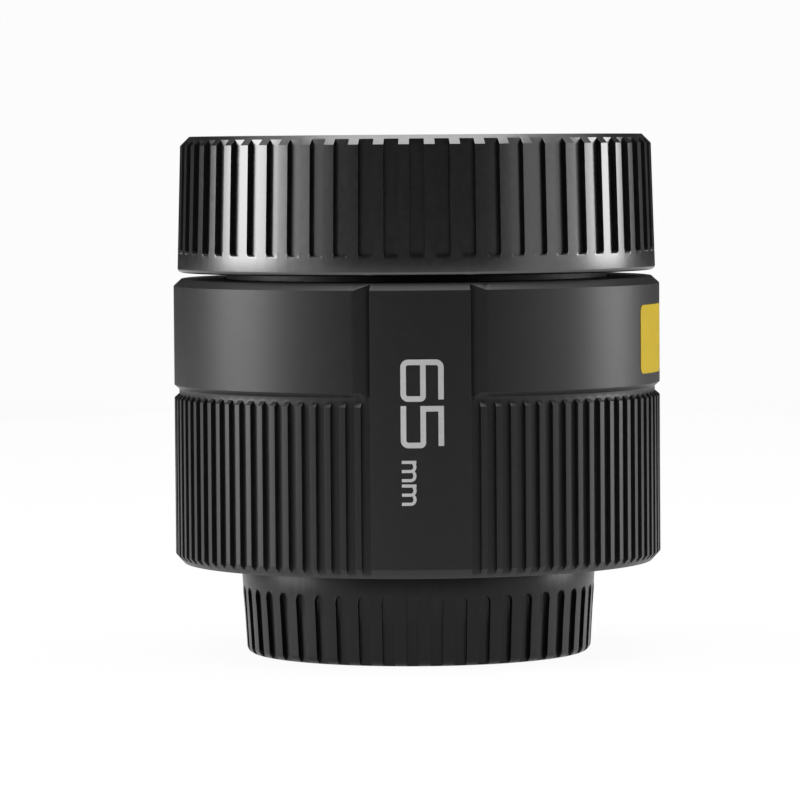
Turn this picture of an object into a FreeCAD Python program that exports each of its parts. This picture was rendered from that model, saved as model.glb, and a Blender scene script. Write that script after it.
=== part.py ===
import FreeCAD, Part
import math
import os
import re

import Sketcher
from FreeCAD import Placement, Rotation, Vector

# A short projection lens of 65 mm focal length, standing upright on its rear cap.
# The origin is the centre of the face it stands on, +Z runs along the optical axis to
# the front glass, and -Y faces the flat pad on the barrel. Lengths are millimetres and
# angles are degrees.

# Sizes that can be set by themselves: name, value, what it is.
DRIVING_SIZES = [
    ("cap_height", 13.4, "rear cap, standing face to rim"),
    ("cap_room", 2.35, "rear cap, outside at the standing face, past the bayonet lugs"),
    ("cap_flare", 0.8, "rear cap, rim past the standing face's edge"),
    ("cap_wall", 1.9, "rear cap, side wall"),
    ("cap_floor", 2.2, "rear cap, floor"),
    ("cap_edge_round", 1.4, "rear cap, rounded lower edge"),
    ("cap_groove_count", 46, "rear cap, grip grooves"),
    ("cap_groove_width", 1.8, "rear cap, width of a grip groove"),
    ("cap_groove_depth", 0.6, "rear cap, depth of a grip groove"),
    ("cap_groove_reach", 9.5, "rear cap, height of the round groove tops"),
    ("cap_turned", -2.8, "rear cap, how far it is turned from the pad's middle"),
    ("cap_clearance", 0.1, "between the cap's rim and the barrel"),
    ("barrel_radius", 36.0, "barrel, over the ribs and the smooth band"),
    ("barrel_length", 42.0, "barrel, lower face to upper face"),
    ("barrel_wall", 3.5, "barrel, side wall"),
    ("barrel_floor", 3.0, "barrel, floor"),
    ("foot_chamfer_height", 1.48, "barrel, lower chamfer"),
    ("foot_chamfer_width", 1.33, "barrel, lower chamfer"),
    ("head_chamfer_height", 1.2, "barrel, upper chamfer"),
    ("head_chamfer_width", 1.3, "barrel, upper chamfer"),
    ("rib_count", 100, "barrel, rib places in a full turn"),
    ("rib_crest", 0.92, "barrel, width of a rib"),
    ("rib_depth", 0.7, "barrel, depth of the channels between ribs"),
    ("rib_length", 23.6, "barrel, lower face to the end of the channels"),
    ("rib_runout", 0.5, "barrel, height of a channel's sloped end"),
    ("pad_pitches", 6, "barrel, channels that the flat pad takes the place of"),
    ("band_groove_start", 24.2, "barrel, lower face to the groove round it"),
    ("band_groove_width", 2.1, "barrel, width of the groove round it"),
    ("band_groove_depth", 0.73, "barrel, depth of the groove round it"),
    ("band_groove_floor", 0.5, "barrel, width of that groove's floor"),
    ("side_channel_depth", 1.0, "barrel, channel beside the pad, depth"),
    ("side_channel_angle", 3.52, "barrel, channel beside the pad, angle it spans"),
    ("screw_shank", 1.0, "screws, radius of the shank"),
    ("screw_head", 1.8, "screws, radius of the head"),
    ("screw_length", 4.5, "screws, head face to tip"),
    ("screw_clearance", 0.06, "round a screw in its hole"),
    ("mount_flange_reach", 3.4, "rear mount, flange past the spigot"),
    ("mount_flange_height", 2.0, "rear mount, flange"),
    ("mount_spigot_wall", 1.3, "rear mount, spigot wall"),
    ("mount_spigot_length", 7.9, "rear mount, spigot below the flange"),
    ("mount_lug_reach", 2.7, "rear mount, bayonet lugs past the spigot"),
    ("mount_lug_height", 2.0, "rear mount, height of a lug"),
    ("mount_lug_drop", 3.5, "rear mount, flange to lug"),
    ("mount_lug_angle", 52, "rear mount, angle a lug spans"),
    ("mount_lug_count", 3, "rear mount, lugs and screws"),
    ("mount_screw_reach", 1.65, "rear mount, screws past the spigot"),
    ("focus_travel", 6.0, "focusing, how far the glass moves out"),
    ("focus_turn", 300, "focusing, how far the ring turns"),
    ("focus_gap", 0.95, "barrel's upper face to the focus ring"),
    ("ring_height", 20.0, "focus ring"),
    ("ring_inset", 0.6, "focus ring, its lower face inside the barrel's outline"),
    ("ring_taper", 0.55, "focus ring, narrower below its upper chamfer than at its foot"),
    ("ring_foot_round", 0.75, "focus ring, rounded lower edge"),
    ("ring_chamfer", 1.35, "focus ring, upper chamfer"),
    ("ring_wall", 3.85, "focus ring, wall round the mouth, below the upper chamfer"),
    ("ring_mouth_chamfer", 0.5, "focus ring, chamfer inside the mouth"),
    ("slot_count", 60, "focus ring, grip slots"),
    ("slot_width", 2.0, "focus ring, width of a slot"),
    ("slot_depth", 0.8, "focus ring, depth of a slot"),
    ("slot_corner", 0.6, "focus ring, corner radius at a slot's lower end"),
    ("slot_start", 2.5, "focus ring, lower face to the slots"),
    ("ring_turned", -0.55, "focus ring, how far it is turned from the pad's middle"),
    ("web_drop", 7.45, "focus ring, upper face down to its web"),
    ("web_thickness", 3.0, "focus ring, web over the neck"),
    ("web_slope_height", 2.5, "focus ring, slope from the mouth to the web"),
    ("web_slope_width", 1.5, "focus ring, slope from the mouth to the web"),
    ("ring_screw_count", 3, "focus ring, screws into the neck"),
    ("sleeve_wall", 4.13, "helicoid sleeve between the neck and the barrel"),
    ("sleeve_margin", 1.0, "helicoid sleeve, past the stop lug's path"),
    ("neck_wall", 3.35, "neck, wall"),
    ("neck_lift", 3.5, "neck, its lower end above the barrel's floor"),
    ("neck_rib_height", 3.5, "neck, inner rib that carries the lens tube"),
    ("neck_rib_depth", 1.5, "neck, inner rib that carries the lens tube"),
    ("stop_lug_height", 3.0, "neck, stop lug"),
    ("stop_lug_reach", 3.35, "neck, stop lug, out from the neck"),
    ("stop_margin", 1.0, "angle left between the stop lug and its key at each end"),
    ("stop_key_width", 4.0, "stop key"),
    ("stop_key_margin", 0.5, "stop key, past the lug's path at its lower end"),
    ("end_ring_height", 1.8, "ring that closes the barrel's upper end"),
    ("seal_height", 1.7, "felt ring round the neck"),
    ("guide_width", 3.0, "guide keys"),
    ("guide_thickness", 2.2, "guide keys"),
    ("guide_length", 27.5, "guide keys"),
    ("guide_foot_length", 5.6, "guide keys, foot on the barrel's floor"),
    ("guide_foot_height", 1.8, "guide keys, foot on the barrel's floor"),
    ("guide_count", 3, "guide keys"),
    ("guide_slot_margin", 1.5, "lens tube, slot past the end of a guide key"),
    ("running_fit", 0.08, "radial clearance of a turning or sliding fit"),
    ("running_gap", 0.3, "clearance between moving pieces that don't bear"),
    ("thrust_play", 0.1, "end play of the lens tube in the neck"),
    ("seat_clearance", 0.04, "round a piece that is fixed in its seat"),
    ("tube_tail_wall", 2.86, "lens tube, wall round the rear element"),
    ("tube_tail_gap", 0.6, "between the lens tube's tail and the rear mount"),
    ("tube_tail_start", 4.4, "lens tube, its rear end above the standing face"),
    ("tube_lift", 0.5, "lens tube, its shoulder above the barrel's floor"),
    ("tube_head_wall", 2.05, "lens tube, wall round the front thread"),
    ("thrust_ring_height", 2.5, "ring that holds the lens tube in the neck"),
    ("front_ring_flange", 1.5, "front retaining ring, flange"),
    ("front_ring_lip", 3.5, "front retaining ring, part inside the lens tube"),
    ("front_ring_lip_wall", 0.9, "front retaining ring, lip at the flange"),
    ("front_ring_rim", 2.1, "front retaining ring, flat rim outside its cone"),
    ("front_ring_hold", 1.1, "front retaining ring, how far it reaches over the glass"),
    ("front_step", 1.05, "front element, inside the tube's front bore"),
    ("front_edge", 3.6, "front element, edge thickness"),
    ("front_face_margin", 0.6, "front element, edge to its polished face in front"),
    ("front_back_margin", 3.2, "front element, edge to its polished face behind"),
    ("front_face_bend", 2.371, "front element, convex front, curve over aperture"),
    ("front_back_bend", 8.333, "front element, hollow back, curve over aperture"),
    ("front_seat_drop", 7.7, "lens tube's front end down to the front seat"),
    ("second_step", 2.0, "second element, edge inside that of the front one"),
    ("second_edge", 2.0, "second element, edge thickness"),
    ("second_face_margin", 1.0, "second element, edge to its polished face in front"),
    ("second_back_margin", 1.5, "second element, edge to its polished face behind"),
    ("second_face_bend", 1.882, "second element, convex front, curve over aperture"),
    ("second_back_bend", 4.848, "second element, hollow back, curve over aperture"),
    ("second_air", 0.92, "front element to second element on the axis"),
    ("spacer_wall", 1.0, "spacer rings"),
    ("third_step", 3.0, "third element, edge inside that of the second one"),
    ("third_centre", 2.06, "third element, thickness on the axis"),
    ("third_face_margin", 1.5, "third element, edge to its polished face in front"),
    ("third_back_margin", 2.5, "third element, edge to its polished face behind"),
    ("third_face_bend", 4.444, "third element, hollow front, curve over aperture"),
    ("third_back_bend", 1.76, "third element, hollow back, curve over aperture"),
    ("third_drop", 1.0, "second element's edge down to the third one's"),
    ("stop_aperture_margin", 3.5, "aperture stop, edge to its opening"),
    ("stop_thickness", 0.8, "aperture stop"),
    ("stop_seat_drop", 4.7, "third seat down to the stop's seat"),
    ("stop_web", 1.5, "lens tube, web that carries the stop"),
    ("stop_web_margin", 1.5, "lens tube, reach of that web"),
    ("pair_step", 2.0, "cemented pair, edge inside that of the third element"),
    ("fourth_centre", 1.18, "fourth element, thickness on the axis"),
    ("fourth_face_margin", 1.8, "fourth element, edge to its polished face in front"),
    ("fourth_face_bend", 1.786, "fourth element, hollow front, curve over aperture"),
    ("pair_margin", 0.6, "cemented pair, edge to the polished faces"),
    ("pair_joint_bend", 4.839, "cemented pair, the face they share, curve over aperture"),
    ("fifth_edge", 3.0, "fifth element, edge thickness"),
    ("fifth_back_bend", 2.742, "fifth element, convex back, curve over aperture"),
    ("rear_element_step", 2.5, "rear element, edge outside that of the cemented pair"),
    ("rear_edge", 3.5, "rear element, edge thickness"),
    ("rear_margin", 1.2, "rear element, edge to the polished faces"),
    ("rear_face_bend", 4.895, "rear element, convex front, curve over aperture"),
    ("rear_back_bend", 2.657, "rear element, convex back, curve over aperture"),
    ("rear_step_level", 17.6, "lens tube's rear end up to its rear bore's step"),
    ("rear_seat_level", 4.1, "lens tube's rear end up to the rear element's edge"),
    ("rear_ring_recess", 0.4, "rear retaining ring, in from the tube's end"),
    ("rear_ring_flare", 0.4, "rear retaining ring, widening of its bore"),
]

# Sizes worked out from the driving ones.
DERIVED_SIZES = [
    ("barrel_base", "cap_height + cap_clearance"),
    ("barrel_top", "barrel_base + barrel_length"),
    ("barrel_bore", "barrel_radius - barrel_wall"),
    ("floor_top", "barrel_base + barrel_floor"),
    ("rib_pitch", "360 / rib_count"),
    ("rib_channel", "2 * pi * barrel_radius / rib_count - rib_crest"),
    ("crest_half_angle", "rib_crest / 2 / barrel_radius * 180 / pi"),
    ("pad_half_angle", "pad_pitches / 2 * rib_pitch + crest_half_angle"),
    ("band_groove_bottom", "barrel_base + band_groove_start"),
    ("band_groove_top", "band_groove_bottom + band_groove_width"),
    ("band_groove_slope", "(band_groove_width - band_groove_floor) / 2"),
    ("ring_base", "barrel_top + focus_gap"),
    ("ring_top", "ring_base + ring_height"),
    ("ring_foot_radius", "barrel_radius - ring_inset"),
    ("ring_head_radius", "ring_foot_radius - ring_taper"),
    ("ring_bore", "ring_head_radius - ring_wall"),
    ("ring_slope", "ring_taper / (ring_height - ring_chamfer)"),
    ("web_level", "ring_top - web_drop"),
    ("neck_radius", "barrel_bore - seat_clearance - sleeve_wall - running_fit"),
    ("neck_top", "web_level - web_thickness"),
    ("neck_base", "floor_top + neck_lift"),
    ("neck_bore", "neck_radius - neck_wall"),
    ("neck_rib_bore", "neck_bore - neck_rib_depth"),
    ("neck_rib_base", "neck_top - neck_rib_height"),
    ("tube_radius", "neck_bore - running_fit"),
    ("tube_head_radius", "neck_rib_bore - running_gap"),
    ("tube_shoulder", "neck_rib_base - thrust_play"),
    ("thrust_base", "neck_top + thrust_play"),
    ("thrust_top", "thrust_base + thrust_ring_height"),
    ("tube_front", "thrust_top + seat_clearance"),
    ("web_bore", "neck_bore + running_gap"),
    ("thrust_radius", "web_bore - running_gap"),
    ("ring_screw_place", "(web_bore + neck_radius) / 2"),
    ("end_ring_base", "barrel_top - end_ring_height"),
    ("seal_base", "end_ring_base - seal_height"),
    ("stop_lug_top", "neck_base + stop_lug_height"),
    ("stop_lug_radius", "neck_radius + stop_lug_reach"),
    ("sleeve_base", "stop_lug_top + focus_travel + sleeve_margin"),
    ("stop_key_base", "neck_base - stop_key_margin"),
    ("stop_key_radius", "neck_radius + stop_key_margin"),
    ("stop_key_half_angle", "asin(stop_key_width / 2 / stop_key_radius) / 1 deg"),
    ("stop_lug_start", "stop_key_half_angle + stop_margin"),
    ("stop_lug_end", "360 - focus_turn - stop_lug_start"),
    ("guide_outer", "neck_bore - running_gap"),
    ("guide_inner", "guide_outer - guide_thickness"),
    ("guide_top", "floor_top + guide_length"),
    ("tube_base", "floor_top + tube_lift"),
    ("front_bore", "tube_head_radius - tube_head_wall"),
    ("front_lip_radius", "front_bore - running_fit"),
    ("front_edge_radius", "front_bore - front_step"),
    ("front_face_aperture", "front_edge_radius - front_face_margin"),
    ("front_back_aperture", "front_edge_radius - front_back_margin"),
    ("front_face_sag", "front_face_aperture * (front_face_bend - sqrt(front_face_bend ^ 2 - 1))"),
    ("front_back_sag", "front_back_aperture * (front_back_bend - sqrt(front_back_bend ^ 2 - 1))"),
    ("front_seat", "tube_front - front_seat_drop"),
    ("front_land", "front_seat + front_edge"),
    ("front_ring_base", "tube_front - front_ring_lip"),
    ("second_edge_radius", "front_edge_radius - second_step"),
    ("second_face_aperture", "second_edge_radius - second_face_margin"),
    ("second_back_aperture", "second_edge_radius - second_back_margin"),
    ("second_face_sag",
     "second_face_aperture * (second_face_bend - sqrt(second_face_bend ^ 2 - 1))"),
    ("second_back_sag",
     "second_back_aperture * (second_back_bend - sqrt(second_back_bend ^ 2 - 1))"),
    ("second_land", "front_seat + front_back_sag - second_air - second_face_sag"),
    ("second_seat", "second_land - second_edge"),
    ("third_edge_radius", "second_edge_radius - third_step"),
    ("third_face_aperture", "third_edge_radius - third_face_margin"),
    ("third_back_aperture", "third_edge_radius - third_back_margin"),
    ("third_face_sag", "third_face_aperture * (third_face_bend - sqrt(third_face_bend ^ 2 - 1))"),
    ("third_back_sag", "third_back_aperture * (third_back_bend - sqrt(third_back_bend ^ 2 - 1))"),
    ("third_land", "second_seat - third_drop"),
    ("third_seat", "third_land - third_face_sag - third_centre - third_back_sag"),
    ("stop_seat", "third_seat - stop_seat_drop"),
    ("pair_edge_radius", "third_edge_radius - pair_step"),
    ("pair_aperture", "pair_edge_radius - pair_margin"),
    ("stop_aperture", "pair_edge_radius - stop_aperture_margin"),
    ("stop_web_radius", "pair_edge_radius - stop_web_margin"),
    ("fourth_face_aperture", "pair_edge_radius - fourth_face_margin"),
    ("fourth_face_sag",
     "fourth_face_aperture * (fourth_face_bend - sqrt(fourth_face_bend ^ 2 - 1))"),
    ("pair_joint_sag", "pair_aperture * (pair_joint_bend - sqrt(pair_joint_bend ^ 2 - 1))"),
    ("fifth_back_sag", "pair_aperture * (fifth_back_bend - sqrt(fifth_back_bend ^ 2 - 1))"),
    ("fourth_land", "stop_seat - stop_web - seat_clearance"),
    ("pair_joint", "fourth_land - fourth_face_sag - fourth_centre - pair_joint_sag"),
    ("fifth_land", "pair_joint - fifth_edge"),
    ("rear_edge_radius", "pair_edge_radius + rear_element_step"),
    ("rear_aperture", "rear_edge_radius - rear_margin"),
    ("rear_face_sag", "rear_aperture * (rear_face_bend - sqrt(rear_face_bend ^ 2 - 1))"),
    ("rear_back_sag", "rear_aperture * (rear_back_bend - sqrt(rear_back_bend ^ 2 - 1))"),
    ("rear_step", "tube_tail_start + rear_step_level"),
    ("rear_back", "tube_tail_start + rear_seat_level"),
    ("rear_land", "rear_back + rear_edge"),
    ("tube_tail_radius", "rear_edge_radius + seat_clearance + tube_tail_wall"),
    ("mount_bore", "tube_tail_radius + tube_tail_gap"),
    ("mount_spigot_radius", "mount_bore + mount_spigot_wall"),
    ("mount_flange_radius", "mount_spigot_radius + mount_flange_reach"),
    ("mount_lug_radius", "mount_spigot_radius + mount_lug_reach"),
    ("mount_screw_place", "mount_spigot_radius + mount_screw_reach"),
    ("mount_base", "barrel_base - mount_flange_height"),
    ("mount_tail", "mount_base - mount_spigot_length"),
    ("cap_foot_radius", "mount_lug_radius + cap_room"),
    ("cap_rim_radius", "cap_foot_radius + cap_flare"),
    ("cap_slope", "cap_flare / cap_height"),
]

# How far a cutting sketch stands outside the surface that it cuts.
CUT_CLEAR = 1.0

doc = FreeCAD.newDocument("projection_lens")
sizes = doc.addObject("Spreadsheet::Sheet", "Sizes")
size_names = set()
parts = []


def fill_sheet():
    """Write every size into the sheet, each value with its own name."""
    rows = list(DRIVING_SIZES)
    rows += [(name, "=" + formula, "worked out") for name, formula in DERIVED_SIZES]
    for row, (name, content, meaning) in enumerate(rows, start=1):
        sizes.set("A%d" % row, name)
        sizes.set("B%d" % row, str(content))
        sizes.set("C%d" % row, meaning)
        sizes.setAlias("B%d" % row, name)
        size_names.add(name)
    doc.recompute()


def bound(formula):
    """The formula with each size name turned into a reference to the sheet."""
    return re.sub(
        r"[a-z][a-z_]*",
        lambda word: "Sizes." + word.group() if word.group() in size_names else word.group(),
        str(formula),
    )


def number(formula):
    """What the formula comes to with the sheet's present values."""
    return float(sizes.evalExpression(bound(formula)))


def new_body(label, turned="0"):
    """An empty body on the optical axis, turned about it by the given angle."""
    body = doc.addObject("PartDesign::Body", label)
    body.Label = label
    body.Placement = Placement(Vector(0, 0, 0), Rotation(Vector(0, 0, 1), 0))
    body.setExpression("Placement.Rotation.Angle", bound(turned))
    parts.append(body)
    return body


def origin_feature(body, role):
    """One of the body's own origin planes or axes."""
    return [item for item in body.Origin.OriginFeatures if item.Role == role][0]


def new_sketch(body, name, plane, offset=("0", "0", "0"), axis=Vector(0, 1, 0), angle="0"):
    """A sketch on an origin plane, moved by the offset and tilted about the axis."""
    sketch = body.newObject("Sketcher::SketchObject", name)
    sketch.AttachmentSupport = [(origin_feature(body, plane), "")]
    sketch.MapMode = "FlatFace"
    sketch.AttachmentOffset = Placement(Vector(*[number(part) for part in offset]),
                                        Rotation(axis, number(angle)))
    for letter, part in zip("xyz", offset):
        sketch.setExpression("AttachmentOffset.Base." + letter, bound(part))
    sketch.setExpression("AttachmentOffset.Rotation.Angle", bound(angle))
    return sketch


def bind(sketch, constraint, formula):
    """Add a measured constraint to the sketch and tie its value to the sheet."""
    index = sketch.addConstraint(constraint)
    sketch.setExpression("Constraints[%d]" % index, bound(formula))


def arc_between(start, end, radius, side):
    """An arc from start to end with its centre to the left (side 1) or right (-1)."""
    chord = end - start
    middle = (start + end) * 0.5
    rise = math.sqrt(max(radius ** 2 - chord.Length ** 2 / 4, 0.0))
    left = Vector(-chord.y, chord.x, 0).normalize()
    centre = middle + left * rise * side
    circle = Part.Circle(centre, Vector(0, 0, 1), radius)
    first, last = (start, end) if side > 0 else (end, start)
    return Part.ArcOfCircle(circle, circle.parameter(first), circle.parameter(last))


def closed_profile(sketch, corners, arcs=None):
    """Join the corners in order; arcs maps a stretch's number to its radius and side."""
    arcs = arcs or {}
    places = [Vector(number(across), number(up), 0) for across, up in corners]
    ends = []
    for index, start in enumerate(places):
        end = places[(index + 1) % len(places)]
        if index in arcs:
            radius, side = arcs[index]
            shape = arc_between(start, end, number(radius), side)
            points = (1, 2) if side > 0 else (2, 1)
        else:
            shape = Part.LineSegment(start, end)
            points = (1, 2)
        ends.append((sketch.addGeometry(shape, False),) + points)
    for index, (across, up) in enumerate(corners):
        line, start_point, _ = ends[index]
        before, _, end_point = ends[index - 1]
        sketch.addConstraint(Sketcher.Constraint("Coincident", before, end_point, line, start_point))
        bind(sketch, Sketcher.Constraint("DistanceX", -1, 1, line, start_point, number(across)), across)
        bind(sketch, Sketcher.Constraint("DistanceY", -1, 1, line, start_point, number(up)), up)
        if index in arcs:
            radius = arcs[index][0]
            bind(sketch, Sketcher.Constraint("Radius", line, number(radius)), radius)


def polar(radius, angle):
    """Across and up, in a plan sketch, of a point at an angle from the pad's middle."""
    return ("(%s) * sin(%s)" % (radius, angle), "-(%s) * cos(%s)" % (radius, angle))


def sector_profile(sketch, inner, outer, first, last):
    """A stretch of a ring between two angles from the pad's middle."""
    corners = [polar(inner, first), polar(outer, first), polar(outer, last), polar(inner, last)]
    closed_profile(sketch, corners, {1: (outer, 1), 3: (inner, -1)})


def revolve(body, corners, arcs=None):
    """Turn a section, given as distances from the axis and heights, into a solid."""
    sketch = new_sketch(body, body.Label + "_section", "XZ_Plane")
    closed_profile(sketch, corners, arcs)
    turned = body.newObject("PartDesign::Revolution", body.Label + "_turned")
    turned.Profile = sketch
    turned.ReferenceAxis = (sketch, ["V_Axis"])
    turned.Angle = 360
    doc.recompute()
    return turned


def cut(body, sketch, depth, both_ways=False):
    """Sink the sketch into the body, and make sure that something was cut."""
    before = body.Shape.Volume
    pocket = body.newObject("PartDesign::Pocket", sketch.Name + "_cut")
    pocket.Profile = sketch
    pocket.Midplane = both_ways
    pocket.setExpression("Length", bound(depth))
    doc.recompute()
    if pocket.Shape.Volume >= before:
        raise ValueError(sketch.Name + " cuts nothing")
    return pocket


def pad(body, sketch, height, both_ways=False):
    """Raise the sketch into a solid."""
    raised = body.newObject("PartDesign::Pad", sketch.Name + "_raised")
    raised.Profile = sketch
    raised.Midplane = both_ways
    raised.setExpression("Length", bound(height))
    doc.recompute()
    return raised


def repeat(body, features, count, angle="360"):
    """Repeat the features about the optical axis."""
    pattern = body.newObject("PartDesign::PolarPattern", features[-1].Name + "_repeated")
    pattern.Originals = features
    pattern.Axis = (origin_feature(body, "Z_Axis"), [""])
    pattern.setExpression("Angle", bound(angle))
    pattern.setExpression("Occurrences", bound(count))
    body.Tip = pattern
    doc.recompute()
    return pattern


def round_edge(body, radius, distance, height):
    """Round the body's circular edge that lies at a distance from the axis and a height."""
    places = {"Edge%d" % (index + 1): edge for index, edge in enumerate(body.Shape.Edges)}
    names = [name for name, edge in places.items()
             if abs(edge.CenterOfMass.z - number(height)) < 0.01
             and abs(edge.Vertexes[0].Point.z - number(height)) < 0.01
             and abs(math.hypot(edge.Vertexes[0].X, edge.Vertexes[0].Y) - number(distance)) < 0.01]
    base = body.Tip
    fillet = body.newObject("PartDesign::Fillet", body.Label + "_rounded")
    fillet.Base = (base, names)
    fillet.setExpression("Radius", bound(radius))
    doc.recompute()
    return fillet


def ring_piece(label, inner, outer, low, high):
    """A plain ring about the optical axis."""
    body = new_body(label)
    revolve(body, [(inner, low), (outer, low), (outer, high), (inner, high)])
    return body


def lens_element(label, edge_radius, back, face):
    """A lens: back and face are (height, aperture, bend, sag, bulge), bulge 1 if convex."""
    back_level, back_aperture, back_bend, back_sag, back_bulge = back
    face_level, face_aperture, face_bend, face_sag, face_bulge = face
    corners = [
        ("0", "%s - %d * %s" % (back_level, back_bulge, back_sag)),
        (back_aperture, back_level),
        (edge_radius, back_level),
        (edge_radius, face_level),
        (face_aperture, face_level),
        ("0", "%s + %d * %s" % (face_level, face_bulge, face_sag)),
    ]
    arcs = {0: ("%s * %s" % (back_aperture, back_bend), back_bulge),
            4: ("%s * %s" % (face_aperture, face_bend), face_bulge)}
    revolve(new_body(label), corners, arcs)


def screw_section(body, name, place, face_level, direction, room="0"):
    """Half of a countersunk screw's section, on the side of the pad, with its axis."""
    sketch = new_sketch(body, name, "XZ_Plane", angle="-90")
    shank = "%s + screw_shank + %s" % (place, room)
    closed_profile(sketch, [
        (place, face_level),
        ("%s + screw_head + %s" % (place, room), face_level),
        (shank, "%s + %d * (screw_head - screw_shank)" % (face_level, direction)),
        (shank, "%s + %d * (screw_length + %s)" % (face_level, direction, room)),
        (place, "%s + %d * (screw_length + %s)" % (face_level, direction, room)),
    ])
    line = Part.LineSegment(Vector(number(place), 0, 0), Vector(number(place), 1, 0))
    index = sketch.addGeometry(line, True)
    bind(sketch, Sketcher.Constraint("DistanceX", -1, 1, index, 1, number(place)), place)
    sketch.addConstraint(Sketcher.Constraint("Vertical", index))
    return sketch


def screw_set(label, count, place, face_level, direction, turned="0"):
    """Equal screws round the axis; direction is 1 where the tips point up, -1 down."""
    body = new_body(label, turned)
    body.AllowCompound = True
    sketch = screw_section(body, label + "_section", place, face_level, direction)
    screw = body.newObject("PartDesign::Revolution", label + "_turned")
    screw.Profile = sketch
    screw.ReferenceAxis = (sketch, ["Axis0"])
    screw.Angle = 360
    doc.recompute()
    repeat(body, [screw], count)


def screw_holes(body, name, count, place, face_level, direction):
    """Countersunk holes that the screws of a set sit in, whichever pieces they pass."""
    before = body.Shape.Volume
    sketch = screw_section(body, name, place, face_level, direction, "screw_clearance")
    hole = body.newObject("PartDesign::Groove", name + "_cut")
    hole.Profile = sketch
    hole.ReferenceAxis = (sketch, ["Axis0"])
    hole.Angle = 360
    doc.recompute()
    if hole.Shape.Volume >= before:
        raise ValueError(name + " cuts nothing")
    return repeat(body, [hole], count)


def rear_cap():
    """Push-on cap that covers the rear mount; the lens stands on it."""
    body = new_body("rear_cap", "cap_turned")
    inside = "cap_foot_radius + cap_slope * cap_floor - cap_wall"
    revolve(body, [
        ("0", "0"),
        ("cap_foot_radius", "0"),
        ("cap_rim_radius", "cap_height"),
        ("cap_rim_radius - cap_wall", "cap_height"),
        (inside, "cap_floor"),
        ("0", "cap_floor"),
    ])
    round_edge(body, "cap_edge_round", "cap_foot_radius", "0")
    groove = new_sketch(body, "grip_groove", "XZ_Plane",
                        ("0", "0", "cap_foot_radius + %s" % CUT_CLEAR),
                        Vector(1, 0, 0), "-atan(cap_slope)")
    half = "cap_groove_width / 2"
    shoulder = "cap_groove_reach - cap_groove_width / 2"
    closed_profile(groove, [
        ("-" + half, "-%s" % CUT_CLEAR),
        (half, "-%s" % CUT_CLEAR),
        (half, shoulder),
        ("0", "cap_groove_reach"),
        ("-" + half, shoulder),
    ], {2: (half, 1), 3: (half, 1)})
    repeat(body, [cut(body, groove, "cap_groove_depth + %s" % CUT_CLEAR)], "cap_groove_count")


def barrel():
    """Outer barrel: ribbed grip below, smooth band above, flat pad down the front."""
    body = new_body("barrel")
    revolve(body, [
        ("mount_bore", "barrel_base"),
        ("barrel_radius - foot_chamfer_width", "barrel_base"),
        ("barrel_radius", "barrel_base + foot_chamfer_height"),
        ("barrel_radius", "barrel_top - head_chamfer_height"),
        ("barrel_radius - head_chamfer_width", "barrel_top"),
        ("barrel_bore", "barrel_top"),
        ("barrel_bore", "floor_top"),
        ("mount_bore", "floor_top"),
    ])
    barrel_band_groove(body)
    barrel_side_channels(body)
    barrel_ribs(body)
    screw_holes(body, "floor_hole", "mount_lug_count", "mount_screw_place", "mount_base", 1)


def barrel_band_groove(body):
    """The groove between the grip and the smooth band, which stops at the pad."""
    sketch = new_sketch(body, "band_groove", "XZ_Plane", angle="pad_half_angle - 90")
    floor = "barrel_radius - band_groove_depth"
    outside = "barrel_radius + %s" % CUT_CLEAR
    closed_profile(sketch, [
        ("barrel_radius", "band_groove_bottom"),
        (floor, "band_groove_bottom + band_groove_slope"),
        (floor, "band_groove_top - band_groove_slope"),
        ("barrel_radius", "band_groove_top"),
        (outside, "band_groove_top"),
        (outside, "band_groove_bottom"),
    ])
    before = body.Shape.Volume
    groove = body.newObject("PartDesign::Groove", "band_groove_cut")
    groove.Profile = sketch
    groove.ReferenceAxis = (sketch, ["V_Axis"])
    groove.setExpression("Angle", bound("360 - 2 * pad_half_angle"))
    doc.recompute()
    if groove.Shape.Volume >= before:
        raise ValueError("the groove round the barrel cuts nothing")


def barrel_side_channels(body):
    """Channels beside the pad in the smooth band, steep at the pad and sloping away."""
    edge = "pad_half_angle"
    far_edge = "(pad_half_angle + side_channel_angle)"
    outside = "barrel_radius + %s" % CUT_CLEAR
    sketch = new_sketch(body, "side_channel", "XY_Plane", ("0", "0", "barrel_top"))
    closed_profile(sketch, [
        polar(outside, edge),
        polar("barrel_radius - side_channel_depth", edge),
        polar("barrel_radius", far_edge),
        polar(outside, far_edge),
    ])
    channel = cut(body, sketch, "barrel_top - band_groove_bottom - band_groove_width / 2")
    mirrored = body.newObject("PartDesign::Mirrored", "side_channel_mirrored")
    mirrored.Originals = [channel]
    mirrored.MirrorPlane = (origin_feature(body, "YZ_Plane"), [""])
    body.Tip = mirrored
    doc.recompute()


def barrel_ribs(body):
    """Channels that leave the grip's ribs standing, all round except at the pad."""
    sketch = new_sketch(body, "rib_channel_section", "XZ_Plane",
                        angle="(pad_pitches + 1) / 2 * rib_pitch - 90")
    floor = "barrel_radius - rib_depth"
    outside = "barrel_radius + %s" % CUT_CLEAR
    top = "barrel_base + rib_length"
    closed_profile(sketch, [
        (floor, "barrel_base - %s" % CUT_CLEAR),
        (outside, "barrel_base - %s" % CUT_CLEAR),
        (outside, "%s + rib_runout * %s / rib_depth" % (top, CUT_CLEAR)),
        (floor, "%s - rib_runout" % top),
    ])
    channel = cut(body, sketch, "rib_channel", both_ways=True)
    repeat(body, [channel], "rib_count - pad_pitches", "(rib_count - pad_pitches - 1) * rib_pitch")


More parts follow.
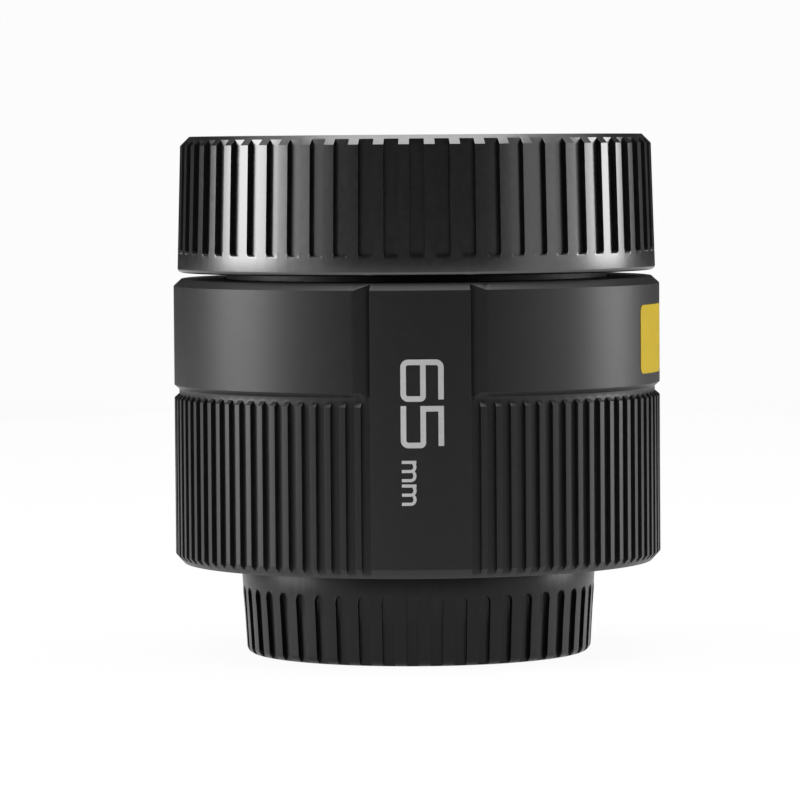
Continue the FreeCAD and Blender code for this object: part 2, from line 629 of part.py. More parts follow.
def mount_ring():
    """Rear mount: a flange under the barrel's floor and a spigot with bayonet lugs."""
    body = new_body("mount_ring")
    revolve(body, [
        ("mount_bore", "mount_tail"),
        ("mount_spigot_radius", "mount_tail"),
        ("mount_spigot_radius", "mount_base"),
        ("mount_flange_radius", "mount_base"),
        ("mount_flange_radius", "barrel_base"),
        ("mount_bore", "barrel_base"),
    ])
    screw_holes(body, "flange_hole", "mount_lug_count", "mount_screw_place", "mount_base", 1)
    lug = new_sketch(body, "lug", "XY_Plane",
                     ("0", "0", "mount_base - mount_lug_drop"))
    middle = "180 / mount_lug_count"
    sector_profile(lug, "mount_spigot_radius - mount_spigot_wall / 2", "mount_lug_radius",
                   "%s - mount_lug_angle / 2" % middle, "%s + mount_lug_angle / 2" % middle)
    raised = pad(body, lug, "mount_lug_height")
    repeat(body, [raised], "mount_lug_count")


def guide_keys():
    """Keys on the barrel's floor that keep the lens tube from turning."""
    for index in range(int(number("guide_count"))):
        body = new_body("guide_key_%d" % (index + 1), "%d * 360 / guide_count" % index)
        sketch = new_sketch(body, "key_%d" % (index + 1), "XZ_Plane")
        closed_profile(sketch, [
            ("guide_inner", "floor_top"),
            ("guide_inner + guide_foot_length", "floor_top"),
            ("guide_inner + guide_foot_length", "floor_top + guide_foot_height"),
            ("guide_outer", "floor_top + guide_foot_height"),
            ("guide_outer", "guide_top"),
            ("guide_inner", "guide_top"),
        ])
        pad(body, sketch, "guide_width", both_ways=True)


def stop_key():
    """Key in the barrel that the neck's lug meets at each end of the focusing turn."""
    body = new_body("stop_key")
    sketch = new_sketch(body, "stop_key_plan", "XY_Plane", ("0", "0", "stop_key_base"))
    half = "stop_key_width / 2"
    reach = "sqrt((barrel_bore - seat_clearance) ^ 2 - (stop_key_width / 2) ^ 2)"
    closed_profile(sketch, [
        ("-" + half, "stop_key_radius"),
        (half, "stop_key_radius"),
        (half, reach),
        ("-" + half, reach),
    ], {2: ("barrel_bore - seat_clearance", 1)})
    pad(body, sketch, "sleeve_base - stop_key_base")


def focus_neck():
    """Turning neck: it runs in the sleeve, carries the focus ring and the lens tube."""
    body = new_body("focus_neck", "ring_turned")
    revolve(body, [
        ("neck_bore", "neck_base"),
        ("neck_radius", "neck_base"),
        ("neck_radius", "neck_top"),
        ("neck_rib_bore", "neck_top"),
        ("neck_rib_bore", "neck_rib_base"),
        ("neck_bore", "neck_rib_base"),
    ])
    lug = new_sketch(body, "stop_lug", "XY_Plane", ("0", "0", "neck_base"))
    sector_profile(lug, "neck_radius - neck_wall / 2", "stop_lug_radius",
                   "180 + stop_lug_start - ring_turned", "180 + stop_lug_end - ring_turned")
    pad(body, lug, "stop_lug_height")
    screw_holes(body, "neck_hole", "ring_screw_count", "ring_screw_place", "web_level", -1)


def focus_ring():
    """Slotted front ring that is turned to focus; its web is screwed to the neck."""
    body = new_body("focus_ring", "ring_turned")
    revolve(body, [
        ("neck_radius + seat_clearance", "ring_base"),
        ("ring_foot_radius", "ring_base"),
        ("ring_head_radius", "ring_top - ring_chamfer"),
        ("ring_head_radius - ring_chamfer", "ring_top"),
        ("ring_bore + ring_mouth_chamfer", "ring_top"),
        ("ring_bore", "ring_top - ring_mouth_chamfer"),
        ("ring_bore", "web_level + web_slope_height"),
        ("ring_bore - web_slope_width", "web_level"),
        ("web_bore", "web_level"),
        ("web_bore", "neck_top"),
        ("neck_radius + seat_clearance", "neck_top"),
    ])
    round_edge(body, "ring_foot_round", "ring_foot_radius", "ring_base")
    slot = new_sketch(body, "grip_slot", "XZ_Plane",
                      ("0", "ring_base + slot_start",
                       "ring_foot_radius - ring_slope * slot_start + %s" % CUT_CLEAR),
                      Vector(1, 0, 0), "atan(ring_slope)")
    half = "slot_width / 2"
    closed_profile(slot, [
        ("-%s + slot_corner" % half, "0"),
        ("%s - slot_corner" % half, "0"),
        (half, "slot_corner"),
        (half, "ring_height"),
        ("-" + half, "ring_height"),
        ("-" + half, "slot_corner"),
    ], {1: ("slot_corner", 1), 5: ("slot_corner", 1)})
    repeat(body, [cut(body, slot, "slot_depth + %s" % CUT_CLEAR)], "slot_count")
    screw_holes(body, "web_hole", "ring_screw_count", "ring_screw_place", "web_level", -1)


def lens_tube():
    """Sliding tube with a stepped bore for the glass; it moves out without turning."""
    body = new_body("lens_tube")
    front_bore = "front_edge_radius + seat_clearance"
    second_bore = "second_edge_radius + seat_clearance"
    third_bore = "third_edge_radius + seat_clearance"
    pair_bore = "pair_edge_radius + seat_clearance"
    rear_bore = "rear_edge_radius + seat_clearance"
    revolve(body, [
        (rear_bore, "tube_tail_start"),
        ("tube_tail_radius", "tube_tail_start"),
        ("tube_tail_radius", "tube_base"),
        ("tube_radius", "tube_base"),
        ("tube_radius", "tube_shoulder"),
        ("tube_head_radius", "tube_shoulder"),
        ("tube_head_radius", "tube_front"),
        ("front_bore", "tube_front"),
        ("front_bore", "front_ring_base - seat_clearance"),
        (front_bore, "front_ring_base - seat_clearance"),
        (front_bore, "front_seat"),
        (second_bore, "front_seat"),
        (second_bore, "second_seat"),
        (third_bore, "second_seat"),
        (third_bore, "third_seat"),
        (pair_bore, "third_seat"),
        (pair_bore, "stop_seat"),
        ("stop_web_radius", "stop_seat"),
        ("stop_web_radius", "stop_seat - stop_web"),
        (pair_bore, "stop_seat - stop_web"),
        (pair_bore, "rear_step"),
        (rear_bore, "rear_step"),
    ])
    slot = new_sketch(body, "guide_slot", "XZ_Plane")
    closed_profile(slot, [
        ("guide_inner - running_gap", "tube_base - %s" % CUT_CLEAR),
        ("tube_radius + %s" % CUT_CLEAR, "tube_base - %s" % CUT_CLEAR),
        ("tube_radius + %s" % CUT_CLEAR, "guide_top + guide_slot_margin"),
        ("guide_inner - running_gap", "guide_top + guide_slot_margin"),
    ])
    repeat(body, [cut(body, slot, "guide_width + 2 * running_fit", both_ways=True)], "guide_count")


def retaining_rings():
    """Threaded rings that hold the glass, and the ring that holds the tube in the neck."""
    ring_piece("thrust_ring", "tube_head_radius + seat_clearance", "thrust_radius",
               "thrust_base", "thrust_top")
    flange = "tube_front + seat_clearance"
    revolve(new_body("front_retaining_ring"), [
        ("front_edge_radius - front_ring_hold", "front_ring_base"),
        ("front_lip_radius", "front_ring_base"),
        ("front_lip_radius", flange),
        ("thrust_radius", flange),
        ("thrust_radius", "tube_front + front_ring_flange"),
        ("thrust_radius - front_ring_rim", "tube_front + front_ring_flange"),
        ("front_lip_radius - front_ring_lip_wall", flange),
    ])
    ring_piece("third_retaining_ring", "third_face_aperture", "third_edge_radius",
               "third_land + seat_clearance", "second_seat - seat_clearance")
    revolve(new_body("rear_retaining_ring"), [
        ("rear_aperture + rear_ring_flare", "tube_tail_start + rear_ring_recess"),
        ("rear_edge_radius", "tube_tail_start + rear_ring_recess"),
        ("rear_edge_radius", "rear_back - seat_clearance"),
        ("rear_aperture", "rear_back - seat_clearance"),
    ])


def spacers_and_stop():
    """Rings that set the distances between the elements, and the aperture stop."""
    ring_piece("front_spacer", "second_edge_radius - spacer_wall", "second_edge_radius",
               "second_land + seat_clearance", "front_seat - seat_clearance")
    ring_piece("aperture_stop", "stop_aperture", "pair_edge_radius",
               "stop_seat + seat_clearance", "stop_seat + seat_clearance + stop_thickness")
    step = "rear_step - seat_clearance"
    revolve(new_body("rear_spacer"), [
        ("rear_aperture", "rear_land + seat_clearance"),
        ("rear_edge_radius", "rear_land + seat_clearance"),
        ("rear_edge_radius", step),
        ("pair_edge_radius", step),
        ("pair_edge_radius", "fifth_land - seat_clearance"),
        ("pair_aperture", "fifth_land - seat_clearance"),
        ("pair_aperture", step + " - spacer_wall"),
        ("rear_aperture", step + " - spacer_wall"),
    ])


def glass():
    """The six elements, front to rear; the fourth and the fifth are cemented."""
    lens_element(
        "front_element", "front_edge_radius",
        ("front_seat", "front_back_aperture", "front_back_bend", "front_back_sag", -1),
        ("front_land", "front_face_aperture", "front_face_bend", "front_face_sag", 1))
    lens_element(
        "second_element", "second_edge_radius",
        ("second_seat", "second_back_aperture", "second_back_bend", "second_back_sag", -1),
        ("second_land", "second_face_aperture", "second_face_bend", "second_face_sag", 1))
    lens_element(
        "third_element", "third_edge_radius",
        ("third_seat", "third_back_aperture", "third_back_bend", "third_back_sag", -1),
        ("third_land", "third_face_aperture", "third_face_bend", "third_face_sag", -1))
    lens_element(
        "fourth_element", "pair_edge_radius",
        ("pair_joint", "pair_aperture", "pair_joint_bend", "pair_joint_sag", -1),
        ("fourth_land", "fourth_face_aperture", "fourth_face_bend", "fourth_face_sag", -1))
    lens_element(
        "fifth_element", "pair_edge_radius",
        ("fifth_land", "pair_aperture", "fifth_back_bend", "fifth_back_sag", 1),
        ("pair_joint", "pair_aperture", "pair_joint_bend", "pair_joint_sag", 1))
    lens_element(
        "rear_element", "rear_edge_radius",
        ("rear_back", "rear_aperture", "rear_back_bend", "rear_back_sag", 1),
        ("rear_land", "rear_aperture", "rear_face_bend", "rear_face_sag", 1))


def write_parts():
    """Check every object of the document, then write each piece to its own file."""
    for item in doc.Objects:
        if "Invalid" in item.State or "Error" in item.State:
            raise ValueError(item.Name + " is not in order")
    for body in parts:
        if body.Shape.isNull() or not body.Shape.isValid():
            raise ValueError(body.Label + " has no sound shape")
    os.makedirs("parts", exist_ok=True)
    for body in parts:
        body.Shape.exportStep("parts/%s.step" % body.Label)


fill_sheet()
rear_cap()
barrel()
mount_ring()
screw_set("mount_screws", "mount_lug_count", "mount_screw_place", "mount_base", 1)
guide_keys()
stop_key()
ring_piece("helicoid_sleeve", "neck_radius + running_fit", "barrel_bore - seat_clearance",
           "sleeve_base", "seal_base")
ring_piece("felt_seal", "neck_radius + running_gap", "barrel_bore - seat_clearance",
           "seal_base", "end_ring_base")
ring_piece("end_ring", "neck_radius + running_gap", "barrel_bore - seat_clearance",
           "end_ring_base", "barrel_top")
focus_neck()
focus_ring()
screw_set("ring_screws", "ring_screw_count", "ring_screw_place", "web_level", -1, "ring_turned")
lens_tube()
retaining_rings()
spacers_and_stop()
glass()
write_parts()
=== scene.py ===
import math

import bmesh
import bpy
from bpy.props import FloatProperty, FloatVectorProperty, PointerProperty
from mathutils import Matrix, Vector


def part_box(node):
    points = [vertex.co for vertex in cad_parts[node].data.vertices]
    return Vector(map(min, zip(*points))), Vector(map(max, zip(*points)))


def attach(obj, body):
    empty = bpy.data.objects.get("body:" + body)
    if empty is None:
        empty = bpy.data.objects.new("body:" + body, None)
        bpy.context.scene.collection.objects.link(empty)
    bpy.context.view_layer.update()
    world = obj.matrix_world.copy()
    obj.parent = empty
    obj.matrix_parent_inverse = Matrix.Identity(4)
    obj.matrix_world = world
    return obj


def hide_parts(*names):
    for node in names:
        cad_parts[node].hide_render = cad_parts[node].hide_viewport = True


bl_info = {
    "name": "Projection Lens",
    "version": (1, 0, 0),
    "blender": (4, 5, 0),
    "location": "View3D > Sidebar > Lens",
    "description": "Dresses a 65 mm projection lens and its studio stage",
    "category": "Object",
}

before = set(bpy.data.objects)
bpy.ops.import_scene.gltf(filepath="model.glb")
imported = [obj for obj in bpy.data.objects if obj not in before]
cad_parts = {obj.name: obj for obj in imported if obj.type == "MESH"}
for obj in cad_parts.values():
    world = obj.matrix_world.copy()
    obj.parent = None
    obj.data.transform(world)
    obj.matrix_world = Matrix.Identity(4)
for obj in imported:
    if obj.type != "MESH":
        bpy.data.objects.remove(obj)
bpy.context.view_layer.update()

MM = 0.001
FULL_TURN = 360.0
MERGE_DISTANCE = 0.002 * MM
WHITE = (1, 1, 1, 1)
# Edges sharper than this are broken, and stay sharp in the shading.
SHARP = math.radians(30)
# Where along Y flat strokes are drawn, before they are laid on the pad.
DRAWING_PLANE = -40.0 * MM

CAP_LOW, CAP_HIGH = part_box("rear_cap")
BARREL_LOW, BARREL_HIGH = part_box("barrel")
RING_LOW, RING_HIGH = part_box("focus_ring")
RETAINER_LOW, RETAINER_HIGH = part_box("front_retaining_ring")


# Sizes and colours that a user would change.

def srgb(code):
    """The linear colour of a hex sRGB code."""
    channels = [int(code[start:start + 2], 16) / 255 for start in (1, 3, 5)]
    return [c / 12.92 if c <= 0.04045 else ((c + 0.055) / 1.055) ** 2.4 for c in channels]


def length(name, description, default):
    """A length property, in metres."""
    return FloatProperty(name=name, description=description, default=default,
                         min=0.0, precision=5, unit="LENGTH")


def degrees(name, description, default):
    """An angle property, given here in degrees."""
    return FloatProperty(name=name, description=description, default=math.radians(default),
                         precision=3, unit="ROTATION")


def colour(name, description, code):
    """A colour property, given here as a hex sRGB code."""
    return FloatVectorProperty(name=name, description=description, default=srgb(code),
                               min=0.0, max=1.0, size=3, subtype="COLOR")


def power(name, default):
    """The power of a softbox, in watts."""
    return FloatProperty(name=name, description="Power", default=default, unit="POWER")


class LensBarrelSizes(bpy.types.PropertyGroup):
    radius: length("Radius", "Smooth band and rib crests", BARREL_HIGH.x - 0.02 * MM)
    bore: length("Bore", "Inside of the wall", 32.5 * MM)
    floor_height: length("Floor", "Thickness of the floor", 3.0 * MM)
    floor_bore: length("Floor bore", "Hole for the lens tube", 19.0 * MM)
    foot_height: length("Foot chamfer height", "Lower chamfer", 1.36 * MM)
    foot_width: length("Foot chamfer width", "Lower chamfer", 1.22 * MM)
    head_height: length("Head chamfer height", "Upper chamfer", 1.05 * MM)
    head_width: length("Head chamfer width", "Upper chamfer", 1.15 * MM)
    rib_depth: length("Rib depth", "Depth of the channels", 0.7 * MM)
    groove_start: length("Groove start", "Lower face to the groove", 24.42 * MM)
    groove_width: length("Groove width", "Groove round the barrel", 1.96 * MM)
    groove_floor: length("Groove floor", "Flat floor of the groove", 0.7 * MM)
    groove_depth: length("Groove depth", "Groove round the barrel", 0.73 * MM)
    side_depth: length("Side channel depth", "Channels beside the pad", 1.0 * MM)
    edge: length("Edge", "Broken edges", 0.1 * MM)


class LensRingSizes(bpy.types.PropertyGroup):
    foot_radius: length("Foot radius", "Outside at the lower edge", RING_HIGH.x)
    head_radius: length("Head radius", "Outside below the chamfer", RING_HIGH.x - 0.55 * MM)
    foot_round: length("Foot round", "Rounded lower edge", 0.6 * MM)
    chamfer: length("Chamfer", "Upper chamfer", 1.35 * MM)
    mouth: length("Mouth", "Inside of the mouth", 31.0 * MM)
    slot_start: length("Slot start", "Lower face to the slots", 2.72 * MM)
    slot_depth: length("Slot depth", "Grip slots", 0.8 * MM)
    slot_corner: length("Slot corner", "Rounded lower corners", 0.6 * MM)
    web_bore: length("Web bore", "Hole in the web", 25.2 * MM)
    web_drop: length("Web drop", "Upper face to the web", 7.45 * MM)
    web_height: length("Web", "Thickness of the web", 3.0 * MM)
    turned: degrees("Turned", "From the pad's middle", -0.55)
    edge: length("Edge", "Broken edges", 0.15 * MM)


class LensCapSizes(bpy.types.PropertyGroup):
    foot_radius: length("Foot radius", "Outside at the floor", 25.48 * MM)
    rim_radius: length("Rim radius", "Outside at the rim", 26.28 * MM)
    wall: length("Wall", "Side wall", 1.9 * MM)
    floor_height: length("Floor", "Thickness of the floor", 2.2 * MM)
    edge_round: length("Edge round", "Rounded lower edge", 1.15 * MM)
    groove_top: length("Groove top", "Height of the grip grooves", 10.1 * MM)
    groove_depth: length("Groove depth", "Grip grooves", 0.6 * MM)
    turned: degrees("Turned", "From the pad's middle", -2.8)
    edge: length("Edge", "Broken edges", 0.1 * MM)


class LensMarkSizes(bpy.types.PropertyGroup):
    digit_width: length("Digit width", "Focal length digits", 5.97 * MM)
    digit_height: length("Digit height", "Focal length digits", 6.13 * MM)
    digit_stroke: length("Digit stroke", "Width of a stroke", 0.79 * MM)
    digit_middle: length("Digit middle", "Height of the middle bar", 3.19 * MM)
    digit_top: length("Digits", "Where the first digit starts", 44.7 * MM)
    digit_pitch: length("Digit pitch", "First digit to second", 6.58 * MM)
    digit_foot: length("Digit foot", "Foot of the digits, left of the pad's middle", 2.86 * MM)
    unit_width: length("Unit width", "One letter of the unit", 3.03 * MM)
    unit_height: length("Unit height", "Letters of the unit", 2.05 * MM)
    unit_stroke: length("Unit stroke", "Width of a stroke", 0.44 * MM)
    unit_top: length("Unit", "Where the unit starts", 30.38 * MM)
    unit_pitch: length("Unit pitch", "First letter to second", 3.35 * MM)
    unit_foot: length("Unit foot", "Foot of the unit, left of the pad's middle", 2.74 * MM)
    ink: length("Ink", "How far the print stands off the pad", 0.01 * MM)
    sticker_width: length("Sticker width", "Blank sticker", 11.5 * MM)
    sticker_low: length("Sticker foot", "Blank sticker", 41.5 * MM)
    sticker_high: length("Sticker head", "Blank sticker", 51.5 * MM)
    sticker_corner: length("Sticker corner", "Blank sticker", 1.0 * MM)
    sticker_thickness: length("Sticker thickness", "Blank sticker", 0.08 * MM)
    sticker_place: degrees("Sticker place", "From the pad's middle", 73.0)


class LensFrontSizes(bpy.types.PropertyGroup):
    rim: length("Rim", "Retaining ring, flat rim", 2.1 * MM)
    flange: length("Flange", "Retaining ring, flange", 1.46 * MM)
    lip_radius: length("Lip", "Retaining ring, lip, outside", 20.97 * MM)
    lip_wall: length("Lip wall", "Retaining ring, lip at the flange", 0.9 * MM)
    hold: length("Hold", "Retaining ring, inside at the glass", 18.9 * MM)
    step: length("Baffle step", "Retaining ring, depth of a baffle step", 0.22 * MM)
    slot_depth: length("Spanner slot", "Retaining ring, depth", 0.7 * MM)
    head_radius: length("Screw head", "Countersunk screws", 1.8 * MM)
    shank_radius: length("Screw shank", "Countersunk screws", 1.0 * MM)
    screw_length: length("Screw length", "Countersunk screws", 4.5 * MM)
    recess_radius: length("Recess", "Hexagon recess of a screw", 0.95 * MM)
    recess_depth: length("Recess depth", "Hexagon recess of a screw", 0.8 * MM)
    edge: length("Edge", "Broken edges", 0.08 * MM)


class LensFinishColours(bpy.types.PropertyGroup):
    barrel: colour("Barrel", "Black anodised aluminium", "#1B1B1B")
    ring: colour("Focus ring", "Polished black aluminium", "#5C5C5C")
    cap: colour("Rear cap", "Black plastic", "#131313")
    print_grey: colour("Print", "Grey ink of the numerals", "#C4C4C4")
    sticker: colour("Sticker", "Blank yellow sticker", "#BDA10A")
    brass: colour("Brass", "Helicoid sleeve and thrust ring", "#B58A45")
    steel: colour("Steel", "Screws and keys", "#8E9094")
    felt: colour("Felt", "Light seal", "#1A1A1C")
    glass: colour("Glass", "Coated optical glass", "#FDFFFE")


class LensStageSettings(bpy.types.PropertyGroup):
    distance: length("Camera distance", "From the optical axis", 0.7415)
    height: length("Camera height", "Above the floor", 0.0743)
    aim_height: length("Aim height", "Where the camera looks", 0.0372)
    aim_left: length("Aim left", "Left of the axis", 0.00255)
    side: degrees("Camera side", "From the pad's middle", -0.8)
    roll: degrees("Roll", "Lean of the camera", 0.42)
    lens: FloatProperty(name="Lens", description="Camera focal length", default=225.0,
                        unit="CAMERA")
    left_power: power("Left softbox", 10.0)
    right_power: power("Right softbox", 8.0)
    top_power: power("Overhead softbox", 9.0)


# Modelling steps.

def place_of(point):
    """Distance from the axis, degrees from the pad's middle towards +X, and height."""
    return math.hypot(point.x, point.y), math.degrees(math.atan2(point.x, -point.y)), point.z


def begin_clean():
    """Leave edit mode and deselect everything, the CAD nodes included."""
    if bpy.context.object and bpy.context.object.mode != "OBJECT":
        bpy.ops.object.mode_set(mode="OBJECT")
    bpy.ops.object.select_all(action="DESELECT")


def new_piece(name):
    """Name the primitive just added, put its place into its mesh and open it for editing."""
    piece = bpy.context.object
    piece.name = name
    piece.data.name = name
    bpy.ops.object.transform_apply(location=True, rotation=True, scale=True)
    bpy.ops.object.mode_set(mode="EDIT")
    bpy.ops.mesh.select_all(action="SELECT")
    return piece


def turned_piece(name, steps, section):
    """A circle at the section's first corner, extruded through the others round the axis."""
    begin_clean()
    radius, height = section[0]
    bpy.ops.mesh.primitive_circle_add(vertices=steps, radius=radius, location=(0, 0, height))
    piece = new_piece(name)
    for (near, low), (far, high) in zip(section, section[1:]):
        bpy.ops.mesh.extrude_edges_move(TRANSFORM_OT_translate={"value": (0, 0, high - low)})
        bpy.ops.transform.resize(value=(far / near, far / near, 1), center_override=(0, 0, 0))
    merge(piece)
    return piece


def merge(piece):
    """Merge doubled corners and point every face outwards."""
    bpy.ops.mesh.select_mode(type="FACE")
    bpy.ops.mesh.select_all(action="SELECT")
    bpy.ops.mesh.remove_doubles(threshold=MERGE_DISTANCE)
    bpy.ops.mesh.select_all(action="SELECT")
    bpy.ops.mesh.normals_make_consistent(inside=False)


def pick(piece, kind, choose):
    """Select what the choice finds in the piece's mesh, and nothing else, and count it."""
    bpy.ops.mesh.select_mode(type=kind)
    bpy.ops.mesh.select_all(action="DESELECT")
    mesh = bmesh.from_edit_mesh(piece.data)
    mesh.verts.ensure_lookup_table()
    chosen = choose(mesh)
    for item in chosen:
        item.select_set(True)
    mesh.select_flush_mode()
    bmesh.update_edit_mesh(piece.data)
    return len(chosen)


def select(piece, kind, test):
    """Select the corners or faces that pass a test of distance, angle and height."""
    def passing(mesh):
        if kind == "VERT":
            return [item for item in mesh.verts if test(*place_of(item.co))]
        return [item for item in mesh.faces if test(*place_of(item.calc_center_median()))]

    if not pick(piece, kind, passing):
        raise ValueError("nothing of %s passes the test" % piece.name)


def select_corners(piece, indices):
    """Select the corners with these numbers."""
    pick(piece, "VERT", lambda mesh: [mesh.verts[index] for index in indices])


def scale_corners(piece, indices, ratio):
    """Bring the corners with these numbers to a share of their distance from the axis."""
    select_corners(piece, indices)
    bpy.ops.transform.resize(value=(ratio, ratio, 1), center_override=(0, 0, 0))


def corners_by(piece, key):
    """The selected corners' numbers, grouped by what the key gives for their place."""
    groups = {}
    for item in bmesh.from_edit_mesh(piece.data).verts:
        if item.select:
            groups.setdefault(key(*place_of(item.co)), []).append(item.index)
    return groups


def to_height(piece, target):
    """Bring the selected corners to the height that the target gives for their place."""
    groups = corners_by(piece, lambda radius, angle, height: round(
        target(radius, angle) - height, 8))
    for rise, indices in groups.items():
        if rise:
            select_corners(piece, indices)
            bpy.ops.transform.translate(value=(0, 0, rise))


def sink(piece, floor):
    """Extrude the selected faces inwards to the floor's distance, never outwards."""
    bpy.ops.mesh.extrude_region_move()
    groups = corners_by(piece, lambda radius, angle, height: round(
        min(1.0, floor(angle, height) / radius), 6))
    for ratio, indices in groups.items():
        if ratio < 1.0:
            scale_corners(piece, indices, ratio)


def rounded(across, up, radius, steps):
    """Corners of a rounded edge in a section, from its foot out to its side."""
    turns = [math.radians(-90 + 90 * step / steps) for step in range(steps + 1)]
    return [(across + radius * math.cos(turn), up + radius * math.sin(turn)) for turn in turns]


def add_modifier(piece, kind, **settings):
    """Add a modifier with its settings and apply it."""
    bpy.ops.object.modifier_add(type=kind)
    modifier = piece.modifiers[-1]
    for name, value in settings.items():
        setattr(modifier, name, value)
    bpy.ops.object.modifier_apply(modifier=modifier.name)


def dress(piece, edge):
    """Break the edges, shade the faces and give flat faces flat normals."""
    bpy.ops.object.mode_set(mode="OBJECT")
    if edge:
        add_modifier(piece, "BEVEL", width=edge, segments=2, limit_method="ANGLE",
                     angle_limit=SHARP)
    bpy.ops.object.shade_smooth_by_angle(angle=SHARP)
    add_modifier(piece, "WEIGHTED_NORMAL", keep_sharp=True, weight=80)


def turn_piece(piece, angle):
    """Turn the piece about the optical axis, in its mesh."""
    piece.rotation_euler.z = angle
    bpy.ops.object.transform_apply(location=False, rotation=True, scale=False)


def hand_over(piece, finish, body, replaced=()):
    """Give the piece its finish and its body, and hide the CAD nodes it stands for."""
    piece.data.materials.clear()
    piece.data.materials.append(finish)
    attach(piece, body)
    if replaced:
        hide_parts(*replaced)


# Finishes.

# The grain varies colour by spread and roughness by rough_spread, each way, and has
# cells_per_mm cells in a millimetre. Real grit is 20 or more in a millimetre, which is too fine
# to show, so it is drawn coarser. Where a piece is turned, pitch and ring_depth say how far
# apart and how strong its tool marks are, also coarser than the real 0.05 mm.
FINISHES = {
    # Turned, then anodised: an even soft black with a broad dull sheen down each side.
    "anodised_black_aluminium": {
        "tone": "barrel", "metallic": 0.0, "roughness": 0.4, "spread": 0.12,
        "cells_per_mm": 0.9, "rough_spread": 0.03, "bump": 0.12,
        "pitch": 0.16 * MM, "ring_depth": 0.15, "Specular_IOR_Level": 0.36,
    },
    # Turned and polished under a thin black coat: a dark mirror of the stage round it.
    "polished_black_aluminium": {
        "tone": "ring", "metallic": 1.0, "roughness": 0.3, "spread": 0.06,
        "cells_per_mm": 1.1, "rough_spread": 0.02, "bump": 0.03,
        "pitch": 0.2 * MM, "ring_depth": 0.12,
    },
    # Moulded in a smooth tool: the deepest black, with a narrow satin gloss.
    "moulded_black_plastic": {
        "tone": "cap", "metallic": 0.0, "roughness": 0.32, "spread": 0.1,
        "cells_per_mm": 1.5, "rough_spread": 0.04, "bump": 0.15, "Specular_IOR_Level": 0.26,
    },
    # Turned and blackened, not polished: clear tool rings on a black that takes glare away.
    "turned_black_aluminium": {
        "tone": "cap", "metallic": 0.0, "roughness": 0.5, "spread": 0.15,
        "cells_per_mm": 0.8, "rough_spread": 0.05, "bump": 0.15,
        "pitch": 0.25 * MM, "ring_depth": 0.4,
    },
    # Ink pressed on the metal: flat, pale and matt, a little uneven in its cover.
    "printed_grey_ink": {
        "tone": "print_grey", "metallic": 0.0, "roughness": 0.5, "spread": 0.05,
        "cells_per_mm": 2.5, "rough_spread": 0.06, "bump": 0.1,
    },
    # Printed film: one plain deep yellow, smooth and without a hard gloss.
    "yellow_vinyl": {
        "tone": "sticker", "metallic": 0.0, "roughness": 0.5, "spread": 0.05,
        "cells_per_mm": 0.5, "rough_spread": 0.05, "bump": 0.08, "Specular_IOR_Level": 0.2,
    },
    # Turned and left bare: a warm metal whose tool rings draw out its highlights.
    "turned_brass": {
        "tone": "brass", "metallic": 1.0, "roughness": 0.3, "spread": 0.1,
        "cells_per_mm": 0.6, "rough_spread": 0.06, "bump": 0.1,
        "pitch": 0.3 * MM, "ring_depth": 0.4,
    },
    # Machined and left bare: a cool bright metal with a fine even grain.
    "machined_steel": {
        "tone": "steel", "metallic": 1.0, "roughness": 0.28, "spread": 0.08,
        "cells_per_mm": 0.9, "rough_spread": 0.06, "bump": 0.1,
    },
    # Wool pressed flat: no gloss at all, a rough nap and a pale fuzz at the rim.
    "pressed_felt": {
        "tone": "felt", "metallic": 0.0, "roughness": 0.95, "spread": 0.4,
        "cells_per_mm": 2.2, "rough_spread": 0.04, "bump": 0.8, "Sheen_Weight": 0.4,
    },
    # Polished, with a thin coat against reflections: clear, with a faint coloured shine.
    "coated_optical_glass": {
        "tone": "glass", "metallic": 0.0, "roughness": 0.02, "spread": 0.01,
        "cells_per_mm": 0.06, "rough_spread": 0.005, "bump": 0.0, "Transmission_Weight": 1.0,
        "IOR": 1.62, "Thin_Film_Thickness": 420.0, "Thin_Film_IOR": 1.38,
    },
}


def add_node(tree, kind, place, links=(), **values):
    """A node at a place in the tree, with its settings, its sockets' values and its links."""
    node = tree.nodes.new(kind)
    node.location = place
    for name, value in values.items():
        socket = name.replace("_", " ")
        match = [item for item in node.inputs if item.name.lower() == socket.lower()]
        if match:
            match[0].default_value = value
        else:
            setattr(node, name, value)
    for socket, source in links:
        tree.links.new(source, node.inputs[socket])
    return node


def new_finish(name, base, metallic, roughness, **sockets):
    """A material with its tree and its shader, ready for a pattern."""
    material = bpy.data.materials.new(name)
    material.use_nodes = True
    tree = material.node_tree
    tree.nodes.clear()
    shader = add_node(tree, "ShaderNodeBsdfPrincipled", (100, 0), Base_Color=(*base, 1.0),
                      Metallic=metallic, Roughness=roughness, **sockets)
    add_node(tree, "ShaderNodeOutputMaterial", (400, 0), [("Surface", shader.outputs["BSDF"])])
    return material, tree, shader


